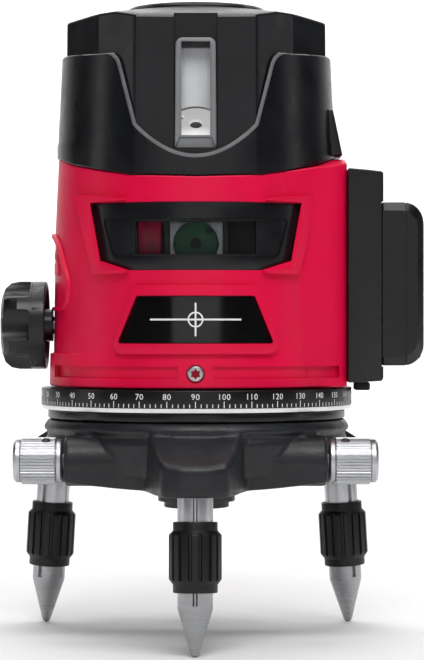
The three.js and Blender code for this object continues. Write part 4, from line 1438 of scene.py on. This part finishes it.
class LEVEL_OT_level_window(Builder, bpy.types.Operator):
    """Black bezel of the wide window with slanted ends, its pane, the posts and the red guard behind it"""
    bl_idname = "level.level_window"
    bl_label = "Wide window"

    def execute(self, context):
        bezel = overlap(plate("level_bezel_moulded", filleted(BEZEL, 0.5), 34.5, 60),
                        rod("limit", 48.95, 110, 160, segments=240))
        bevelled(bezel, 0.3, 2, 50)
        ends = [(-29.2, -39.3), (-20, -42.2), (20, -42.2), (29.2, -39.3), (29.2, -60), (-29.2, -60)]
        mouth = filleted([(-27, 129.8), (27, 129.8), (30.4, 142.1), (-30.4, 142.1)], [2.2, 2.2, 1.2, 1.2])
        recess = overlap(prism("recess", ends, 120, 150), plate("mouth", mouth, 30, 60))
        lip = overlap(plate("lip", grown(mouth, 0.5), 30, 60), tube("skin", 48.6, 60, 120, 150, segments=240))
        opening = plate("opening", rectangle(20, 130.6, 141.4), 20, 60)
        cut(bezel, recess, lip, opening, block("module_room", (-24, -36.9, 120), (24, -30, 150)))
        settle(bezel, UPRIGHT, "housing", moulded_abs_black(), ["level_bezel"], sharp=24)
        pane = plate("level_pane", rectangle(19.9, 130.7, 141.3), 41.2, 42.0)
        settle(pane, UPRIGHT, "housing", float_glass(), ["level_glass"])
        self.behind()
        return {"FINISHED"}

    def behind(self):
        """What moves with the pendulum behind the wide window."""
        near, far, bottom, top, half = -33, -24, 128.3, 142.7, 0.9
        for side, x in (("left", -9.7), ("right", 9.9)):
            post = block(f"module_post_{side}", (x - half, near, bottom), (x + half, far, top))
            settle(bevelled(post, 0.3), UPRIGHT, "pendulum", enamelled_casting())
        guard = bevelled(block("beam_guard", (-19.4, near, 128.4), (-11.6, far, 142.6)), 0.5)
        settle(guard, UPRIGHT, "pendulum", tinted_red_acrylic())
        edge = block("guard_edge", (-20.6, near + 0.5, bottom), (-19.6, far, top))
        settle(bevelled(edge, 0.2), UPRIGHT, "pendulum", enamelled_casting())
        shroud = block("module_shroud", (-20.6, -23.6, 125), (20, -22.6, 146))
        settle(shroud, UPRIGHT, "pendulum", moulded_rubber())


class LEVEL_OT_laser_modules(Builder, bpy.types.Operator):
    """Two white-faced modules that look out and up, the green horizontal module and the plumb module"""
    bl_idname = "level.laser_modules"
    bl_label = "Laser modules"

    def execute(self, context):
        screw = (-5.2, 3.4)
        for side, turn in (("front", 0), ("back", 180)):
            barrel = rod(f"line_module_{side}_barrel", 7.9, -21.5, -1.2, 0.4)
            grooves = [tube("groove", 7.5, 9, -4 - step * 2.2, -3 - step * 2.2) for step in range(6)]
            self.tilt(cut(barrel, *grooves), turn, "bright_metal", plated_turned_metal(),
                      [f"line_module_{side}"])
            face = rod(f"line_module_{side}_face", 8.4, -1.2, 0, 0.25, 72)
            screw_hole = moved(rod("screw_hole", 1.2, -0.9, 1, segments=24), *screw)
            cut(face, rod("beam", 2.3, -0.9, 1), screw_hole)
            self.tilt(face, turn, "bright_metal", white_enamel())
            lens = rod(f"line_module_{side}_lens", 2.2, -1.15, -0.85, 0.1)
            self.tilt(lens, turn, "bright_metal", moulded_abs_grey())
            dot = moved(rod(f"line_module_{side}_screw", 1.15, -1.15, -0.8, 0.1, 24), *screw)
            self.tilt(dot, turn, "bright_metal", moulded_abs_grey())
        self.level_module()
        plumb = tube("plumb_module_barrel", 1.5, 4.5, low("plumb_module").z, high("plumb_module").z, 0.4, 48)
        settle(plumb, UPRIGHT, "pendulum", machined_brass(), ["plumb_module"])
        return {"FINISHED"}

    def tilt(self, piece, turn, slot, finish, nodes=()):
        """Leans a module drawn along Z back, facing out and up at the front or the back."""
        lean, middle = 45, (0, -26.5, 175)
        moved(moved(piece, turn=lean, axis="X"), *middle)
        return settle(moved(piece, turn=turn), UPRIGHT, "pendulum", finish, nodes)

    def level_module(self):
        front, height = -low("level_module").y, (low("level_module").z + high("level_module").z) / 2
        barrel = rod("level_module_barrel", 7.5, 10, front, 0.4, 72)
        cut(barrel, rod("aperture", 1.9, front - 4, front + 1, segments=32),
            block("screw_seat", (3.1, 3.0, front - 1), (5.3, 5.2, front + 1)))
        moved(moved(barrel, turn=90, axis="X"), 0, 0, height)
        settle(barrel, UPRIGHT, "pendulum", green_enamel(), ["level_module"])
        stops = [rod("level_module_aperture", 1.88, front - 1.2, front - 0.5, segments=32),
                 block("level_module_seat", (3.12, 3.02, front - 0.9), (5.28, 5.18, front - 0.4))]
        for stop in stops:
            moved(moved(stop, turn=90, axis="X"), 0, 0, height)
            settle(stop, UPRIGHT, "pendulum", moulded_rubber())


class LEVEL_OT_label(Builder, bpy.types.Operator):
    """Glossy black label plate with a plain sign of two crossed laser lines"""
    bl_idname = "level.label"
    bl_label = "Label"

    def execute(self, context):
        radius = 49.35
        label = overlap(plate("label_plate_polished", filleted(LABEL, 0.6), 30, 60),
                        tube("skin", radius - 0.7, radius, 95, 122, segments=240))
        settle(label, UPRIGHT, "housing", polished_acrylic_black(), ["label_plate"])
        middle, half, long, tall, radius_of_sign = 108.9, 0.3, 15, 5.5, 2.6
        level_line = plate("label_sign", rectangle(long, middle - half, middle + half), 30, 60)
        plumb_line = plate("plumb", rectangle(half, middle - tall, middle + tall), 30, 60)
        circle = [(radius_of_sign * cos(a), middle + radius_of_sign * sin(a))
                  for a in [tau * at / 40 for at in range(40)]]
        ring = cut(plate("ring", circle, 30, 60), plate("hole", grown(circle, -0.5), 20, 61))
        sign = join(level_line, plumb_line, ring)
        overlap(sign, tube("skin", radius - 0.2, radius + 0.05, 95, 122, segments=240))
        settle(sign, UPRIGHT, "housing", screened_white_ink())
        return {"FINISHED"}


class LEVEL_OT_lock_knob(Builder, bpy.types.Operator):
    """Lock knob: neck, dished back and a grip with six finger hollows, and the cam on its shaft"""
    bl_idname = "level.lock_knob"
    bl_label = "Lock knob"

    def execute(self, context):
        place = UPRIGHT @ Matrix.Translation((0, 0, from_axis(JOINTS["lock_turn"]["pos_m"]).z))
        place = place @ Matrix.Rotation(-pi / 2, 4, "Y")
        end = -low("lock_knob").x
        knob = turned("lock_knob_moulded", [
            (0, 49.9), (5.6, 49.9), (5.6, 54.3), (13.8, 54.3), (14.3, 52), (14.9, 52), (15.25, 52.4),
            (15.25, 61.5), (14.7, 64.3), (13.0, 66.3), (10.2, 67.4), (6.0, end), (0, end),
        ], 144, 0.2)
        hollow_circle = 19.0
        for turn in range(-90, 270, 60):
            hollow = turned("finger_hollow", [(0, 57.4), (7.2, 57.4), (7.6, 69), (0, 69)], 64, 0.6)
            cut(knob, moved(moved(hollow, hollow_circle), turn=turn))
        waist = tube("waist", 15.05, 16, 56.3, 56.7, segments=144)
        cut(knob, waist, rod("socket", 3.3, 49, 58))
        bevelled(knob, 0.3, 2, 30)
        settle(knob, place, "lock", moulded_abs_black(), ["lock_knob"], sharp=40)
        shaft = rod("lock_cam_turned", 3, 38, 57.7, 0.3)
        join(shaft, moved(rod("cam", 6, 36, 39, 0.3), 1.5))
        settle(shaft, place, "lock", machined_steel(), ["lock_cam"])
        return {"FINISHED"}


class LEVEL_OT_battery(Builder, bpy.types.Operator):
    """Battery box on the right side with its chamfered cover, three wrapped cells and the plug below"""
    bl_idname = "level.battery"
    bl_label = "Battery"

    def execute(self, context):
        self.box()
        self.cover()
        for number in (1, 2, 3):
            self.cell(f"cell_{number}")
        self.plug()
        return {"FINISHED"}

    def box(self):
        face, edge, half = low("battery_box").x, high("battery_box").x - 1.5, high("battery_box").y
        bottom, top = low("battery_box").z, high("battery_box").z
        outline = [(face, bottom), (edge - 0.6, bottom + 0.6), (edge, bottom + 1.6), (edge, top - 2.6),
                   (edge - 0.9, top - 2.1), (edge - 5, top - 1.6), (face, top - 1.0)]
        box = bevelled(plate("battery_box_moulded", filleted(outline, 0.7), -half, half), 0.6, 3, 40)
        cover_low, cover_high = low("battery_cover").z, high("battery_cover").z
        rebate = block("rebate", (62.6, -40, cover_low - 0.3), (80, 40, cover_high + 0.3))
        room = block("room", (61.9, -26.2, 95), (80, 26.2, 147))
        wires = block("wires", (40, -26, bottom + 2), (59.9, 26, top - 3))
        cut(box, rebate, room, wires)
        settle(box, UPRIGHT, "housing", moulded_abs_black(), ["battery_box"], sharp=28)

    def cover(self):
        """A crowned tray with chamfered edges, rounded outer corners and a parting line."""
        split, line_width, line_depth, wall, half = 70.6, 0.4, 0.35, 1.7, 26.2
        bottom, top = low("battery_cover").z + 1.8, high("battery_cover").z - 1.8
        tray = self.tray("battery_cover_moulded", 0)
        band = block("band", (split, -40, 80), (split + line_width, 40, 160))
        cavity = block("cavity", (60, -half, bottom), (76.9, half, top))
        cut(tray, cut(band, self.tray("core", line_depth)), overlap(cavity, self.tray("cavity_limit", wall)))
        settle(tray, UPRIGHT, "battery_cover", moulded_abs_black(), ["battery_cover"], sharp=24)

    def tray(self, name, inset):
        """The cover's outer form, made smaller all round by an inset; its open side stays in place."""
        corner, opposite, chamfer, crown = low("battery_cover"), high("battery_cover"), 2.9, 2.2
        back, front, half = corner.x, opposite.x, opposite.y - inset
        bottom, top = corner.z + inset, opposite.z - inset
        rings = []
        for y in (-half, -half + chamfer, -14, 0, 14, half - chamfer, half):
            shrink = chamfer if abs(y) == half else 0
            out = front - inset - shrink - crown * (y / half) ** 2 + (1.2 if shrink else 0)
            low_edge, high_edge = bottom + shrink, top - shrink
            corners = [(back, low_edge), (out, low_edge), (out, high_edge), (back, high_edge)]
            rings.append([(x, y, z) for x, z in filleted(corners, [0.5, 8.5, 8.5, 0.5], steps=8)])
        return ringed(name, rings, capped=True)

    def cell(self, node):
        """A cell with its bare ends and its button, in a plain wrap."""
        middle = (low(node) + high(node)) / 2
        bottom, top = low(node).z, high(node).z
        place = UPRIGHT @ Matrix.Translation((middle.x, middle.y, 0))
        radius, button = 7.2, 2.75
        case = turned(f"{node}_case", [
            (0, bottom + 0.1), (6.4, bottom + 0.1), (6.9, bottom), (radius, bottom + 0.5),
            (radius, top - 1.7), (6.8, top - 1.1), (button, top - 1.05), (button, top), (0, top),
        ], 64, 0.1)
        settle(case, place, "housing", plated_turned_metal(), [node])
        wrap = tube(f"{node}_wrap", 7.1, 7.24, bottom + 0.7, top - 1.8, segments=64)
        settle(wrap, place, "housing", printed_cell_wrap())

    def plug(self):
        corner, opposite = low("power_plug"), high("power_plug")
        plug = block("power_plug_moulded", corner, opposite)
        settle(bevelled(plug, 0.7, 3), UPRIGHT, "housing", moulded_rubber(), ["power_plug"])


class LEVEL_OT_inner_works(Builder, bpy.types.Operator):
    """Finishes for the gimbal, pendulum, worm gear, spindle, turntable and board, and the board's parts"""
    bl_idname = "level.inner_works"
    bl_label = "Inner works"

    def execute(self, context):
        repaint(["turntable", "gimbal_bracket"], enamelled_casting())
        repaint([
            "centre_spindle", "spindle_nut", "swivel_bearing", "clutch_spring", "worm_shaft",
            "gimbal_ring", "pendulum", "damping_magnet",
        ], machined_steel())
        repaint(["worm_wheel", "worm_bush_right", "worm_bush_left"], machined_brass())
        repaint(["control_board"], solder_mask())
        back = high("control_board").y
        parts = [((-14, 104), (-5, 113), 1.6), ((-2, 104), (6, 109), 1.2), ((9, 102), (16, 118), 2.4),
                 ((-15, 118), (-9, 132), 2.0), ((-4, 116), (4, 124), 1.1), ((0, 128), (14, 134), 3.0)]
        for number, ((x0, z0), (x1, z1), tall) in enumerate(parts):
            chip = block(f"board_part_{number}", (x0, back - 1.6 - tall, z0), (x1, back - 1.5, z1))
            settle(bevelled(chip, 0.15, 1), UPRIGHT, "housing", moulded_rubber())
        return {"FINISHED"}


# ---------------------------------------------------------------- the add-on
OPERATORS = [
    LEVEL_OT_stage, LEVEL_OT_base_casting, LEVEL_OT_legs, LEVEL_OT_tangent_knobs, LEVEL_OT_dial,
    LEVEL_OT_red_shell, LEVEL_OT_shell_screws, LEVEL_OT_skirt, LEVEL_OT_head_dome, LEVEL_OT_keypad,
    LEVEL_OT_tall_windows, LEVEL_OT_level_window, LEVEL_OT_laser_modules, LEVEL_OT_label,
    LEVEL_OT_lock_knob, LEVEL_OT_battery, LEVEL_OT_inner_works,
]


class LEVEL_PT_sidebar(bpy.types.Panel):
    """Every step of the line laser, in the order they are built"""
    bl_idname = "LEVEL_PT_sidebar"
    bl_label = "Laser level"
    bl_space_type = "VIEW_3D"
    bl_region_type = "UI"
    bl_category = "Laser level"

    def draw(self, context):
        for group in (context.scene.level_colours, context.scene.level_sizes):
            box = self.layout.box()
            for name in group.__annotations__:
                box.prop(group, name)
        for step in OPERATORS:
            self.layout.operator(step.bl_idname)


CLASSES = [LEVEL_PG_colours, LEVEL_PG_sizes, *OPERATORS, LEVEL_PT_sidebar]


def register():
    for kind in CLASSES:
        bpy.utils.register_class(kind)
    bpy.types.Scene.level_colours = PointerProperty(type=LEVEL_PG_colours)
    bpy.types.Scene.level_sizes = PointerProperty(type=LEVEL_PG_sizes)


def unregister():
    del bpy.types.Scene.level_sizes
    del bpy.types.Scene.level_colours
    for kind in reversed(CLASSES):
        bpy.utils.unregister_class(kind)


def main():
    register()
    for step in OPERATORS:
        getattr(bpy.ops.level, step.bl_idname.split(".")[1])()


if __name__ == "__main__":
    main()
